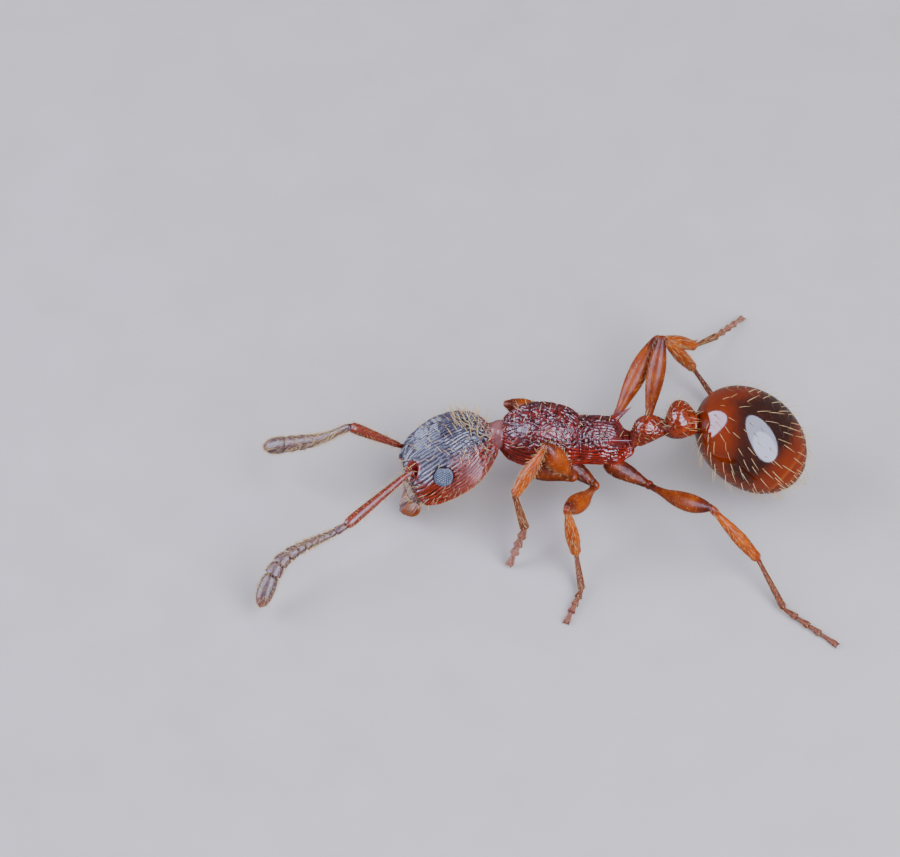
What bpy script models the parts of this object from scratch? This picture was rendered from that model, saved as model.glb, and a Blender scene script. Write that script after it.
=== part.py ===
"""A worker of the European fire ant (Myrmica rubra), life size, standing on six feet.

The ant faces -Y, its left side is at +X and its feet stand on z = 0. Everything is modelled in
millimetres and hangs under one empty that brings it to metres. Each plate of the body and each
segment of a leg or feeler is a closed solid of its own, parted from its neighbour by a thin cut.
"""
import math

import bpy
from mathutils import Matrix, Vector

# ---- driving dimensions, in millimetres and degrees ----
METRES_PER_MM = 0.001
CUT = 0.012                 # width of the cut between two pieces
BODY_HEIGHT = 0.82          # axis of the trunk above the floor
ORIGIN = (-0.028, -0.267)   # middle of the ant's footprint, brought to x = y = 0

HEAD_JOINT = (0.004, -0.833, 0.87)                   # where the neck enters the head
HEAD_PITCH, HEAD_YAW, HEAD_ROLL = 30.0, 20.0, 21.0   # nose down, to its left, left cheek up

GASTER_CENTRE = (-0.024, 1.844, 0.720)
GASTER_PITCH, GASTER_YAW = 31.0, 28.0   # tail end down, and to its left
GASTER_RADII = (0.505, 0.645, 0.488)
GASTER_RINGS = (-0.985, 0.70, 0.88, 0.999)   # where the plates end, as parts of the half length

RUST = (0.33, 0.055, 0.012)
DARK = (0.10, 0.035, 0.020)
AMBER = (0.55, 0.16, 0.02)
GREY = (0.16, 0.09, 0.07)
EYE = (0.12, 0.15, 0.18)

# The trunk along Y: y, x of the middle, half width, top and bottom above the trunk's axis.
PRONOTUM = (
    (-0.725, 0.0, 0.160, 0.162, -0.155),
    (-0.660, 0.0, 0.235, 0.232, -0.220),
    (-0.510, 0.0, 0.300, 0.320, -0.280),
    (-0.340, 0.0, 0.325, 0.360, -0.310),
    (-0.170, 0.0, 0.305, 0.350, -0.320),
)
MESOTHORAX = (
    (-0.158, 0.0, 0.303, 0.347, -0.320),
    (-0.030, 0.0, 0.272, 0.295, -0.325),
    (0.070, 0.0, 0.226, 0.205, -0.325),
)
PROPODEUM = (
    (0.082, 0.0, 0.222, 0.190, -0.325),
    (0.200, 0.0, 0.228, 0.205, -0.335),
    (0.350, 0.0, 0.228, 0.190, -0.345),
    (0.455, -0.003, 0.215, 0.140, -0.340),
    (0.530, -0.006, 0.165, 0.010, -0.315),
    (0.595, -0.010, 0.125, -0.050, -0.270),
)
PETIOLE = (
    (0.607, -0.010, 0.090, 0.020, -0.200),
    (0.645, -0.016, 0.108, 0.165, -0.175),
    (0.705, -0.024, 0.125, 0.228, -0.135),
    (0.785, -0.034, 0.130, 0.242, -0.080),
    (0.870, -0.044, 0.114, 0.200, -0.025),
    (0.942, -0.050, 0.085, 0.150, 0.010),
)
POSTPETIOLE = (
    (0.954, -0.050, 0.090, 0.160, 0.010),
    (1.010, -0.055, 0.165, 0.350, 0.010),
    (1.090, -0.060, 0.190, 0.405, 0.010),
    (1.180, -0.060, 0.172, 0.360, 0.030),
    (1.262, -0.060, 0.115, 0.240, 0.050),
)
# The head from its joint forward (+Y of its own frame is forward): forward, middle, half width,
# top and bottom.
HEAD = (
    (0.000, 0.0, 0.125, 0.110, -0.100),
    (0.030, 0.0, 0.215, 0.210, -0.145),
    (0.100, 0.0, 0.304, 0.302, -0.195),
    (0.240, 0.0, 0.400, 0.380, -0.250),
    (0.420, 0.0, 0.454, 0.425, -0.290),
    (0.610, 0.0, 0.458, 0.428, -0.285),
    (0.790, 0.0, 0.430, 0.385, -0.255),
    (0.930, 0.0, 0.360, 0.275, -0.205),
    (1.000, 0.0, 0.250, 0.110, -0.160),
)
# The left jaw in the head's frame, closed against the right one at its middle: the same columns.
JAW = (
    (1.012, 0.120, 0.084, -0.030, -0.135),
    (1.060, 0.134, 0.116, -0.055, -0.180),
    (1.120, 0.128, 0.118, -0.085, -0.212),
    (1.180, 0.105, 0.096, -0.110, -0.224),
    (1.230, 0.073, 0.064, -0.130, -0.218),
    (1.262, 0.048, 0.038, -0.144, -0.206),
)
EYE_PLACE = (0.568, 16.0)    # forward on the head, and turn up from its side
EYE_REACH = 0.098           # half width of the eye along the head
EYE_HEIGHT = 0.034          # how far the eye stands out
SOCKET_PLACE = (0.865, 60.0)   # forward on the head, and turn up from its side

# Each leg's joints, in the frame of the floor: trochanter, knee, ankle, end of the first long
# tarsal segment, and foot. The first entry is where the coxa sits: y and turn on the trunk.
LEGS = {
    "fore_L": ((-0.44, -42.0), (0.40, 0.01, 0.63), (0.45, -0.28, 1.30), (0.74, -0.61, 0.81),
               (0.894, -0.493, 0.425), (1.08, -0.66, 0.0)),
    "fore_R": ((-0.46, -126.0), (-0.37, 0.00, 0.43), (-0.48, -0.70, 0.75), (-0.68, -0.46, 0.20),
               (-0.84, -0.12, 0.07), (-0.76, 0.32, 0.0)),
    "mid_L": ((0.00, -50.0), (0.30, 0.25, 0.37), (1.00, -0.08, 0.94), (1.04, 0.03, 0.21),
              (1.40, 0.09, 0.06), (1.80, -0.08, 0.0)),
    "mid_R": ((0.02, -130.0), (-0.35, 0.40, 0.44), (-1.25, 0.88, 0.84), (-1.52, 1.31, 0.34),
              (-1.80, 1.56, 0.14), (-2.14, 1.86, 0.0)),
    "hind_L": ((0.41, -48.0), (0.30, 0.78, 0.38), (0.98, 1.40, 0.94), (1.14, 1.90, 0.24),
               (1.64, 2.16, 0.06), (2.08, 2.71, 0.0)),
    "hind_R": ((0.37, -130.0), (-0.30, 0.77, 0.39), (-1.12, 0.94, 1.03), (-1.30, 1.29, 0.25),
               (-0.84, 1.62, 0.06), (-0.66, 2.25, 0.0)),
}
COXA_RADIUS = {"fore": 0.092, "mid": 0.085, "hind": 0.092}
FEMUR_RADIUS = {"fore": 0.115, "mid": 0.105, "hind": 0.098}
TIBIA_RADIUS = {"fore": 0.070, "mid": 0.072, "hind": 0.070}
TARSUS_RADIUS = {"fore": 0.046, "mid": 0.036, "hind": 0.036}
JOINT_RADIUS = 0.036        # neck at a trochanter, knee or ankle
FEMUR_BOW = 0.042           # how far the middle of a femur bends outwards and down
FOOT_HEIGHT = 0.022         # middle of the last tarsal segment above the floor

# Each feeler's joints in the frame of the floor: elbow, then the flagellum's own bends and tip.
FEELERS = {
    "L": ((1.04, -2.33, 0.69), (1.16, -2.61, 0.605), (1.25, -2.86, 0.54), (1.40, -3.05, 0.435),
          (1.67, -3.20, 0.215)),
    "R": ((0.17, -2.28, 1.22), (0.15, -2.37, 1.13), (0.07, -2.61, 0.86), (-0.03, -2.88, 0.65),
          (-0.13, -3.16, 0.45)),
}
SCAPE_RADII = (0.040, 0.044, 0.053, 0.057)
FLAGELLUM_RADII = (0.044, 0.056, 0.064)
CLUB_START = 0.60           # part of the flagellum's length where its club begins
CLUB_RADII = (0.070, 0.092, 0.094, 0.062)


def clear_scene():
    """Remove whatever the new file holds."""
    for thing in list(bpy.data.objects):
        bpy.data.objects.remove(thing)


def make_materials():
    """One plain material for each colour of the shell."""
    finishes = {"rust": (RUST, 0.35), "dark": (DARK, 0.4), "amber": (AMBER, 0.25),
                "grey": (GREY, 0.6), "eye": (EYE, 0.3)}
    made = {}
    for name, (colour, roughness) in finishes.items():
        material = bpy.data.materials.new(name)
        material.use_nodes = True
        shader = material.node_tree.nodes["Principled BSDF"]
        shader.inputs["Base Color"].default_value = (*colour, 1.0)
        shader.inputs["Roughness"].default_value = roughness
        shader.inputs["Metallic"].default_value = 0.0
        made[name] = material
    return made


def blend(rows, place):
    """Read a table of rows at a fractional row number, on a smooth curve through them."""
    last = len(rows) - 1
    index = min(int(place), last - 1)
    t = place - index
    before, here, there, after = (rows[max(0, min(last, index + step))] for step in (-1, 0, 1, 2))
    value = []
    for a, b, c, d in zip(before, here, there, after):
        bend = (c - a) * t + (2 * a - 5 * b + 4 * c - d) * t ** 2 + (3 * b - a - 3 * c + d) * t ** 3
        value.append(b + 0.5 * bend)
    return value


class Loft:
    """A rounded body along Y, from rows of y, middle, half width, top and bottom."""

    def __init__(self, rows, frame=None, squareness=2.3):
        self.rows = rows
        self.frame = frame or Matrix.Translation((0.0, 0.0, BODY_HEIGHT))
        self.power = 2.0 / squareness

    def row_at(self, y):
        """The fractional row number whose section lies at y."""
        low, high = 0.0, len(self.rows) - 1.0
        for _ in range(40):
            middle = (low + high) / 2
            if blend(self.rows, middle)[0] < y:
                low = middle
            else:
                high = middle
        return low

    def point(self, place, turn, lift=0.0):
        """The surface at a row and a turn about Y, where 0 is +X and 90 is up."""
        y, middle, half_width, top, bottom = blend(self.rows, place)
        c, s = math.cos(math.radians(turn)), math.sin(math.radians(turn))
        x = math.copysign(abs(c) ** self.power, c) * half_width
        z = math.copysign(abs(s) ** self.power, s) * (top - bottom) / 2
        out = Vector((x, 0.0, z)).normalized() * lift
        return self.frame @ (Vector((middle + x, y, (top + bottom) / 2 + z)) + out)

    def ring(self, place, sides):
        """One section of the body."""
        return [self.point(place, 360.0 * k / sides) for k in range(sides)]

    def push_out(self, point):
        """Bring a point inside the body out to a cut's width above its surface."""
        x, y, z = self.frame.inverted() @ point
        if not self.rows[0][0] <= y <= self.rows[-1][0]:
            return point
        _, middle, half_width, top, bottom = blend(self.rows, self.row_at(y))
        level, half_height = (top + bottom) / 2, (top - bottom) / 2 + CUT
        half_width += CUT
        power = 2.0 / self.power
        reach = (abs((x - middle) / half_width) ** power
                 + abs((z - level) / half_height) ** power) ** (1.0 / power)
        if reach >= 1.0:
            return point
        return self.frame @ Vector((middle + (x - middle) / reach, y, level + (z - level) / reach))

    def patch(self, y, turn, reach, sides, lift):
        """A round patch on the surface: its rim and its middle."""
        middle = self.point(self.row_at(y), turn, lift)
        _, _, half_width, top, bottom = blend(self.rows, self.row_at(y))
        girth = (half_width + (top - bottom) / 2) / 2
        rim = []
        for k in range(sides):
            angle = 2 * math.pi * k / sides
            along = self.row_at(y + reach * math.cos(angle))
            rim.append(self.point(along, turn + math.degrees(reach * math.sin(angle) / girth), lift))
        return rim, middle


def skin_rings(rings, first_cap=None, last_cap=None):
    """Join rings of points into a closed mesh; a cap is the point in the middle of an end."""
    sides = len(rings[0])
    points = [point for ring in rings for point in ring]
    faces = []
    for row in range(len(rings) - 1):
        for k in range(sides):
            a, b = row * sides + k, row * sides + (k + 1) % sides
            faces.append((a, b, b + sides, a + sides))
    ends = ((0, first_cap, True), ((len(rings) - 1) * sides, last_cap, False))
    for start, cap, is_first in ends:
        middle = cap or sum((points[start + k] for k in range(sides)), Vector()) / sides
        points.append(middle)
        for k in range(sides):
            edge = (start + k, start + (k + 1) % sides)
            faces.append((len(points) - 1, *(reversed(edge) if is_first else edge)))
    return points, faces


def add_part(name, points, faces, material):
    """Make one named solid under the ant's empty, with its faces pointing out."""
    mesh = bpy.data.meshes.new(name)
    mesh.from_pydata([tuple(point) for point in points], [], faces)
    mesh.validate()
    volume = sum(points[f[0]].dot(points[f[k]].cross(points[f[k + 1]]))
                 for f in faces for k in range(1, len(f) - 1))
    if volume < 0:
        mesh.flip_normals()
    mesh.materials.append(MATERIALS[material])
    mesh.shade_smooth()
    part = bpy.data.objects.new(name, mesh)
    part.parent = ANT
    COLLECTION.objects.link(part)
    return part


def add_loft(name, rows, material, sides, steps=1, frame=None):
    """A body made from its rows, with more rings between them for each step."""
    body = Loft(rows, frame)
    count = (len(rows) - 1) * steps
    rings = [body.ring(k / steps, sides) for k in range(count + 1)]
    add_part(name, *skin_rings(rings), material)
    return body


def joint_plane(before, at, after):
    """The plane of a cut between two segments: it halves their angle."""
    a = (at - before).normalized()
    b = (after - at).normalized()
    return (a + b).normalized() if (a + b).length > 0.05 else a


def keep_behind(point, origin, normal):
    """Bring a point that has passed the plane of a cut back onto that plane."""
    depth = (point - origin).dot(normal)
    return point - normal * min(depth, 0.0)


def add_limb(name, path, radii, material, sides=8, planes=(None, None), seat=None, on_floor=False,
             clear_of=()):
    """A tube of changing radius along a path. Its ends are cut in the given planes."""
    tangents = []
    for k, point in enumerate(path):
        before, after = path[max(k - 1, 0)], path[min(k + 1, len(path) - 1)]
        tangents.append((after - before).normalized())
    side = tangents[0].orthogonal().normalized()
    if seat:
        side = (seat[0][0] - seat[1]).normalized()
    rings = []
    for k, (point, tangent, radius) in enumerate(zip(path, tangents, radii)):
        side = (side - tangent * side.dot(tangent)).normalized()
        over = tangent.cross(side)
        plane = planes[0] if k == 0 else planes[1] if k == len(path) - 1 else None
        ring = []
        for step in range(sides):
            angle = 2 * math.pi * step / sides
            arm = (side * math.cos(angle) + over * math.sin(angle)) * radius
            if plane:
                slide = -arm.dot(plane) / tangent.dot(plane)
                arm += tangent * max(-1.6 * radius, min(1.6 * radius, slide))
            ring.append(point + arm)
        rings.append(ring)
    first_cap = None
    if seat:
        rim, first_cap = seat
        if (rim[0] - first_cap).cross(rim[1] - first_cap).dot(tangents[0]) < 0:
            rim = [rim[0], *reversed(rim[1:])]
        rings.insert(0, rim)
    for plane, origin, sense in ((planes[0], path[0], 1.0), (planes[1], path[-1], -1.0)):
        if plane:
            rings = [[keep_behind(point, origin, plane * sense) for point in ring] for ring in rings]
    if on_floor:
        rings = [[Vector((p.x, p.y, max(p.z, 0.0))) for p in ring] for ring in rings]
    for body in clear_of:
        rings = [rings[0]] + [[body.push_out(point) for point in ring] for ring in rings[1:]]
    add_part(name, *skin_rings(rings, first_cap), material)


def spaced(start, end, parts):
    """Points on a straight run at the given parts of its length, half a cut short at each end."""
    run = end - start
    pull = run.normalized() * CUT / 2
    return [start + pull + (run - 2 * pull) * part for part in parts]


def spline(points, count):
    """Evenly numbered points on a smooth curve through the given ones."""
    last = len(points) - 1
    return [Vector(blend(points, last * k / count)) for k in range(count + 1)]


def head_frame():
    """The head's own frame: +X its left, +Y forward, +Z its top, at the head's joint."""
    pitch, yaw, roll = (math.radians(a) for a in (HEAD_PITCH, HEAD_YAW, HEAD_ROLL))
    forward = Vector((math.sin(yaw) * math.cos(pitch), -math.cos(yaw) * math.cos(pitch),
                      -math.sin(pitch)))
    level = Vector((math.cos(yaw), math.sin(yaw), 0.0))
    top = level.cross(forward)
    top = top if top.z > 0 else -top
    left = level * math.cos(roll) + top * math.sin(roll)
    top = top * math.cos(roll) - level * math.sin(roll)
    frame = Matrix((left, forward, top)).transposed().to_4x4()
    return Matrix.Translation(HEAD_JOINT) @ frame


def add_head():
    """Head capsule, eyes, jaws and the neck that carries them."""
    frame = head_frame()
    head = add_loft("head", HEAD, "dark", sides=20, frame=frame)
    for side, mirror in (("L", 1), ("R", -1)):
        forward, turn = EYE_PLACE
        turn = turn if side == "L" else 180.0 - turn
        rings = []
        for part in (1.0, 0.98, 0.75, 0.42):
            rise = CUT + EYE_HEIGHT * math.sqrt(1.0 - part ** 2) * 1.02
            rings.append(head.patch(forward, turn, EYE_REACH * part, 12, rise)[0])
        under = head.point(head.row_at(forward), turn, CUT)
        crown = head.point(head.row_at(forward), turn, CUT + EYE_HEIGHT)
        add_part("eye_" + side, *skin_rings(rings, under, crown), "eye")

        rows = [(y, mirror * middle, *rest) for y, middle, *rest in JAW]
        add_loft("jaw_" + side, rows, "rust", sides=14, frame=frame)

    trunk = Loft(PRONOTUM)
    collar = [point + Vector((0.0, -CUT, 0.0)) for point in trunk.ring(0, 16)]
    back = frame.to_3x3() @ Vector((0.0, -CUT, 0.0))
    nape = [point + back for point in head.ring(0, 16)]
    add_part("neck", *skin_rings([collar, nape]), "rust")
    return head


def add_feelers(head):
    """Scape, flagellum and club on each side."""
    for side, joints in FEELERS.items():
        forward, turn = SOCKET_PLACE
        turn = turn if side == "L" else 180.0 - turn
        rim, middle = head.patch(forward, turn, 0.045, 8, CUT)
        joints = [Vector(joint) for joint in joints]
        out = (middle - head.frame @ Vector((0.0, forward, 0.0))).normalized()
        elbow = joints[0]
        root = middle + out * 0.05
        path = [root] + [root.lerp(elbow - (elbow - root).normalized() * CUT / 2, part)
                         for part in (0.08, 0.45, 0.8, 1.0)]
        bend = joint_plane(root, elbow, joints[1])
        add_limb("scape_" + side, path, (0.034, *SCAPE_RADII[:3], SCAPE_RADII[3] * 0.75), "rust",
                 planes=(None, bend), seat=(rim, middle))
        curve = spline(joints, 20)
        first_club = round(20 * CLUB_START)
        stem = curve[:first_club + 1:2]
        stem[0] = stem[0] + (stem[1] - stem[0]).normalized() * CUT / 2
        club = curve[first_club::2]
        facing = (club[1] - club[0]).normalized()
        club[0] = club[0] + facing * CUT
        radii = [blend([(r,) for r in FLAGELLUM_RADII], 2 * k / (len(stem) - 1))[0]
                 for k in range(len(stem))]
        add_limb("flagellum_" + side, stem, radii, "grey", planes=(bend, facing))
        radii = [blend([(r,) for r in CLUB_RADII], 3 * k / (len(club) - 1))[0]
                 for k in range(len(club))]
        tip = club[-1] + (club[-1] - club[-2]).normalized() * 0.05
        add_limb("club_" + side, [*club, tip], [*radii, 0.022], "grey", planes=(facing, None))


def add_trunk():
    """The three plates of the trunk, the spines and the two-jointed waist."""
    hosts = {"fore": add_loft("pronotum", PRONOTUM, "rust", sides=18, steps=2),
             "mid": add_loft("mesothorax", MESOTHORAX, "rust", sides=18),
             "hind": add_loft("propodeum", PROPODEUM, "rust", sides=18)}
    for side, turn in (("L", 50.0), ("R", 130.0)):
        mirror = 1 if side == "L" else -1
        rim, middle = hosts["hind"].patch(0.43, turn, 0.052, 8, CUT)
        tip = Vector((mirror * 0.215, 0.61, BODY_HEIGHT + 0.215))
        root = middle.lerp(tip, 0.12)
        path = [root.lerp(tip, part) for part in (0.0, 0.5, 0.96)]
        add_limb("spine_" + side, path, (0.045, 0.026, 0.010), "rust", seat=(rim, middle))
    add_loft("petiole", PETIOLE, "rust", sides=14, steps=2)
    add_loft("postpetiole", POSTPETIOLE, "rust", sides=16, steps=2)
    return hosts


def add_gaster():
    """The gaster as three plates, one behind the other, each a turned body with a Screw."""
    half_width, half_length, half_height = GASTER_RADII
    facing = (Matrix.Rotation(math.radians(-GASTER_YAW), 4, "Z")
              @ Matrix.Rotation(math.radians(-90.0 - GASTER_PITCH), 4, "X"))
    squash = Matrix.Diagonal((half_width / half_height, 1.0, 1.0, 1.0))
    plates = list(zip(GASTER_RINGS, GASTER_RINGS[1:]))
    for number, (front, rear) in enumerate(plates, start=1):
        front_cut = CUT / half_length if number > 1 else 0.0
        steps = 9 if number == 1 else 5
        low, high = math.asin(front + front_cut), math.asin(rear)
        angles = [low + (high - low) * k / steps for k in range(steps + 1)]
        outline = [(half_height * math.cos(a), half_length * math.sin(a)) for a in angles]
        outline = [(0.0, outline[0][1]), *outline, (0.0, outline[-1][1])]
        outline.reverse()
        mesh = bpy.data.meshes.new("gaster_%d" % number)
        edges = [(k, k + 1) for k in range(len(outline) - 1)]
        mesh.from_pydata([(x, 0.0, z) for x, z in outline], edges, [])
        mesh.materials.append(MATERIALS["amber"])
        plate = bpy.data.objects.new("gaster_%d" % number, mesh)
        plate.parent = ANT
        plate.matrix_local = Matrix.Translation(GASTER_CENTRE) @ facing @ squash
        COLLECTION.objects.link(plate)
        screw = plate.modifiers.new("turned", "SCREW")
        screw.axis = "Z"
        screw.angle = 2 * math.pi
        screw.steps = screw.render_steps = 22
        screw.use_merge_vertices = True
        screw.merge_threshold = 1e-5
        screw.use_smooth_shade = True


def add_leg(name, trunk, joints):
    """One leg: coxa, femur, tibia, first tarsal segment and the rest of the tarsus."""
    pair = name.split("_")[0]
    seat_place, *rest = joints
    trochanter, knee, ankle, heel, foot = (Vector(joint) for joint in rest)
    foot = foot + Vector((0.0, 0.0, FOOT_HEIGHT))
    coxa, thigh, shin = COXA_RADIUS[pair], FEMUR_RADIUS[pair], TIBIA_RADIUS[pair]
    slim = TARSUS_RADIUS[pair]

    rim, middle = trunk[pair].patch(*seat_place, coxa * 0.85, 8, CUT)
    outward = (trochanter - middle).normalized()
    hip = joint_plane(middle, trochanter, knee)
    path = [middle + (trochanter - outward * CUT / 2 - middle) * part
            for part in (0.22, 0.45, 0.8, 1.0)]
    add_limb("coxa_" + name, path, (coxa, coxa * 0.95, coxa * 0.68, JOINT_RADIUS * 1.3), "rust",
             planes=(None, hip), seat=(rim, middle), clear_of=trunk.values())

    bend = joint_plane(trochanter, knee, ankle)
    parts = (0.0, 0.06, 0.14, 0.3, 0.5, 0.7, 0.86, 0.95, 1.0)
    sizes = (0.34, 0.44, 0.42, 0.60, 0.92, 1.0, 0.76, 0.52, 0.34)
    side = math.copysign(1.0, knee.x)
    bow = Vector((side, 0.0, -1.0)).normalized() * FEMUR_BOW
    path = [point + bow * 4 * part * (1 - part)
            for point, part in zip(spaced(trochanter, knee, parts), parts)]
    add_limb("femur_" + name, path, [thigh * s for s in sizes], "amber", planes=(hip, bend))

    step = joint_plane(knee, ankle, heel)
    parts = (0.0, 0.06, 0.14, 0.35, 0.62, 0.85, 0.96, 1.0)
    sizes = (0.42, 0.62, 0.60, 0.82, 1.0, 0.90, 0.80, 0.50)
    add_limb("tibia_" + name, spaced(knee, ankle, parts), [shin * s for s in sizes], "amber",
             planes=(bend, step))

    last = joint_plane(ankle, heel, foot)
    parts = (0.0, 0.12, 0.9, 1.0)
    sizes = (0.75, 1.0, 1.0, 0.8)
    add_limb("heel_" + name, spaced(ankle, heel, parts), [slim * s for s in sizes], "rust",
             planes=(step, last), on_floor=True)

    parts = (0.0, 0.22, 0.25, 0.44, 0.47, 0.66, 0.69, 0.88, 0.92, 1.0)
    sizes = (0.7, 1.0, 0.75, 1.0, 0.75, 1.0, 0.75, 1.05, 1.1, 0.8)
    add_limb("tarsus_" + name, spaced(heel, foot, parts), [slim * s for s in sizes], "rust",
             planes=(last, None), on_floor=True)


clear_scene()
COLLECTION = bpy.data.collections.new("fire_ant")
bpy.context.scene.collection.children.link(COLLECTION)
ANT = bpy.data.objects.new("ant_in_millimetres", None)
ANT.scale = (METRES_PER_MM,) * 3
ANT.location = (-ORIGIN[0] * METRES_PER_MM, -ORIGIN[1] * METRES_PER_MM, 0.0)
COLLECTION.objects.link(ANT)
MATERIALS = make_materials()

add_feelers(add_head())
TRUNK = add_trunk()
add_gaster()
for leg_name, leg_joints in LEGS.items():
    add_leg(leg_name, TRUNK, leg_joints)
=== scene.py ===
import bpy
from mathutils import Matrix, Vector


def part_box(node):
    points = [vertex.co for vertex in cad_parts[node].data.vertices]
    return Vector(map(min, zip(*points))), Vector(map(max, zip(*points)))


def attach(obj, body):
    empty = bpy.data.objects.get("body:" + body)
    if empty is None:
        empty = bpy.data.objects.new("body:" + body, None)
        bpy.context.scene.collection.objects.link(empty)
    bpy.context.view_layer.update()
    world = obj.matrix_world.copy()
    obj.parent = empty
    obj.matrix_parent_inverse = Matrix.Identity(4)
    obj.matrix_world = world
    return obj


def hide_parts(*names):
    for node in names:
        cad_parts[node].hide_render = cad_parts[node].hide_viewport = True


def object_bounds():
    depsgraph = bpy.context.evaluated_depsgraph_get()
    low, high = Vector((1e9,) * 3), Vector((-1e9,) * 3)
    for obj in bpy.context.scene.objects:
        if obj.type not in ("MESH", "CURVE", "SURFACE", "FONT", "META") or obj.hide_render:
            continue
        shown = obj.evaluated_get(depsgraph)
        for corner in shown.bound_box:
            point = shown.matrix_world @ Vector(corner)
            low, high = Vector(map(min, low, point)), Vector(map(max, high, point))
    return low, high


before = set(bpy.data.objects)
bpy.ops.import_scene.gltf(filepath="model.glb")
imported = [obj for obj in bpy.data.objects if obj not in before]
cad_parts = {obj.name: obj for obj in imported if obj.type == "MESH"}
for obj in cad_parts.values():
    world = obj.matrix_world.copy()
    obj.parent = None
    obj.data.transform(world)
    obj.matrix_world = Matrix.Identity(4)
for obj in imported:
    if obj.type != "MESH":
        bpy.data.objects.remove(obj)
"""The looks of a fire ant worker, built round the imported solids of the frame.

Shapes are worked out in millimetres, in the frame's axes: the ant faces -Y, its left is +X, up is
+Z. make_mesh brings them to metres. Every skin is a Grid: rows of points along a body or a limb,
which the relief, the colour masks and the hairs all share.
"""
import math
from itertools import product

import bpy
import numpy as np
from mathutils import Vector
from mathutils.bvhtree import BVHTree

CAD_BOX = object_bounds()
CENTRE = Vector(np.mean(CAD_BOX, 0))    # middle of the solids, in metres
MM = 0.001
SQUARE = 2.0 / 2.3          # power of the rounded sections, as in the solids
NEAR = 0.02                 # a node's points this near to its host or its far end belong there
ROW_GAP = 0.004             # the rows of a solid's points lie further apart than this
THINNEST = 0.0008           # least radius of a tube
FLOOR_GAP = 0.0008          # least height of feet and leg hairs above the floor
HEAD_ANGLES = (30.0, 20.0, 21.0)        # the head's pitch, yaw and roll, in degrees
CORD_HEIGHT = 0.0165        # relief of the head
WRINKLE_HEIGHT = 0.0155     # relief of the trunk
FACET = 10.0                # from one facet of an eye to the next, in degrees
TEETH = ((0.94, 0.032), (0.88, 0.027), (0.81, 0.021),    # place along a jaw, and size
         (0.74, 0.018), (0.66, 0.016), (0.58, 0.014))
BEAD_LENGTHS = (1.5, 0.84, 0.82, 0.84, 0.88, 0.94, 1.02, 1.50, 1.62, 1.70, 4.5)   # as shares
BEAD_WIDTHS = (0.045, 0.042, 0.043, 0.046, 0.050, 0.055, 0.061, 0.072, 0.081, 0.087, 0.089)
DULL_ROUGHNESS = 0.55
DRAWS = 6                   # places drawn for each hair, since many fall too close to others
PATCH = 0.003               # size of one hair's patch on its OFBake map
LOOK_AT = (0.028, -0.999, 0.268)        # where the camera looks, from the centre
CAMERA_HEIGHT = 54.0        # how far the camera stands above the horizon, in degrees
CAMERA_DISTANCE = 60.0


# ---- small vector tools ----
def unit(vectors):
    """Vectors of length one."""
    vectors = np.asarray(vectors, float)
    return vectors / np.maximum(np.linalg.norm(vectors, axis=-1, keepdims=True), 1e-12)


def curve(table, at):
    """A smooth curve through the rows of a table, read at fractional row numbers."""
    table = np.asarray(table, float)
    last = len(table) - 1
    at = np.clip(np.asarray(at, float), 0, last)
    index = np.minimum(at.astype(int), last - 1)
    t = (at - index)[:, None]
    a, b, c, d = (table[np.clip(index + step, 0, last)] for step in (-1, 0, 1, 2))
    bend = (c - a) * t + (2 * a - 5 * b + 4 * c - d) * t ** 2 + (3 * b - a - 3 * c + d) * t ** 3
    return b + 0.5 * bend


def walked(points):
    """How far along a row of points each of them lies."""
    return np.concatenate(((0,), np.cumsum(np.linalg.norm(np.diff(points, axis=0), axis=1))))


def ramp(value, start, end):
    """0 at start, 1 at end, smooth between."""
    t = np.clip((value - start) / (end - start), 0.0, 1.0)
    return t * t * (3.0 - 2.0 * t)


def bell(distance, width):
    """1 in the middle, fading to 0 over the width."""
    return np.exp(-(distance / width) ** 2)


# ---- fields that vary in space ----
def lattice(i, j, k, seed):
    """A number from 0 to 1 for each whole-number cell."""
    mask = 0xFFFFFFFF
    key = (i * 73856093 & mask) ^ (j * 19349663 & mask) ^ (k * 83492791 & mask) ^ (seed * 7919)
    key = (key ^ (key >> 13)) * 1274126177 & mask
    key = (key ^ (key >> 16)) * 668265263 & mask
    return ((key >> 8) & 0xFFFF) / 65535.0


def noise(points, size, seed):
    """Smooth noise from -1 to 1, with lumps of about the given size."""
    p = points / size
    cell = np.floor(p).astype(np.int64)
    f = p - cell
    f = f * f * (3.0 - 2.0 * f)
    total = 0.0
    for step in product((0, 1), repeat=3):
        near = [f[..., k] if step[k] else 1 - f[..., k] for k in range(3)]
        corner = lattice(*(cell[..., k] + step[k] for k in range(3)), seed)
        total = total + near[0] * near[1] * near[2] * corner
    return 2.0 * total - 1.0


def drift(points, size, seed):
    """Three noises side by side, to bend a pattern by."""
    return np.stack([noise(points, size, seed + k) for k in range(3)], -1)


def cell_ridges(points, size, stretch, seed, width=0.16):
    """1 on the walls between irregular cells and 0 inside them. Stretch lengthens cells along Y."""
    p = points / np.array((size, size * stretch, size))
    cell = np.floor(p).astype(np.int64)
    near = np.full(p.shape[:-1], 9.0)
    second = near.copy()
    for step in product((-1, 0, 1), repeat=3):
        at = [cell[..., k] + step[k] for k in range(3)]
        gap = np.stack([at[k] + 0.1 + 0.8 * lattice(*at, seed + k) - p[..., k] for k in range(3)])
        reach = np.sqrt((gap ** 2).sum(0))
        second = np.minimum(second, np.maximum(near, reach))
        near = np.minimum(near, reach)
    return bell(second - near, width)


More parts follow.
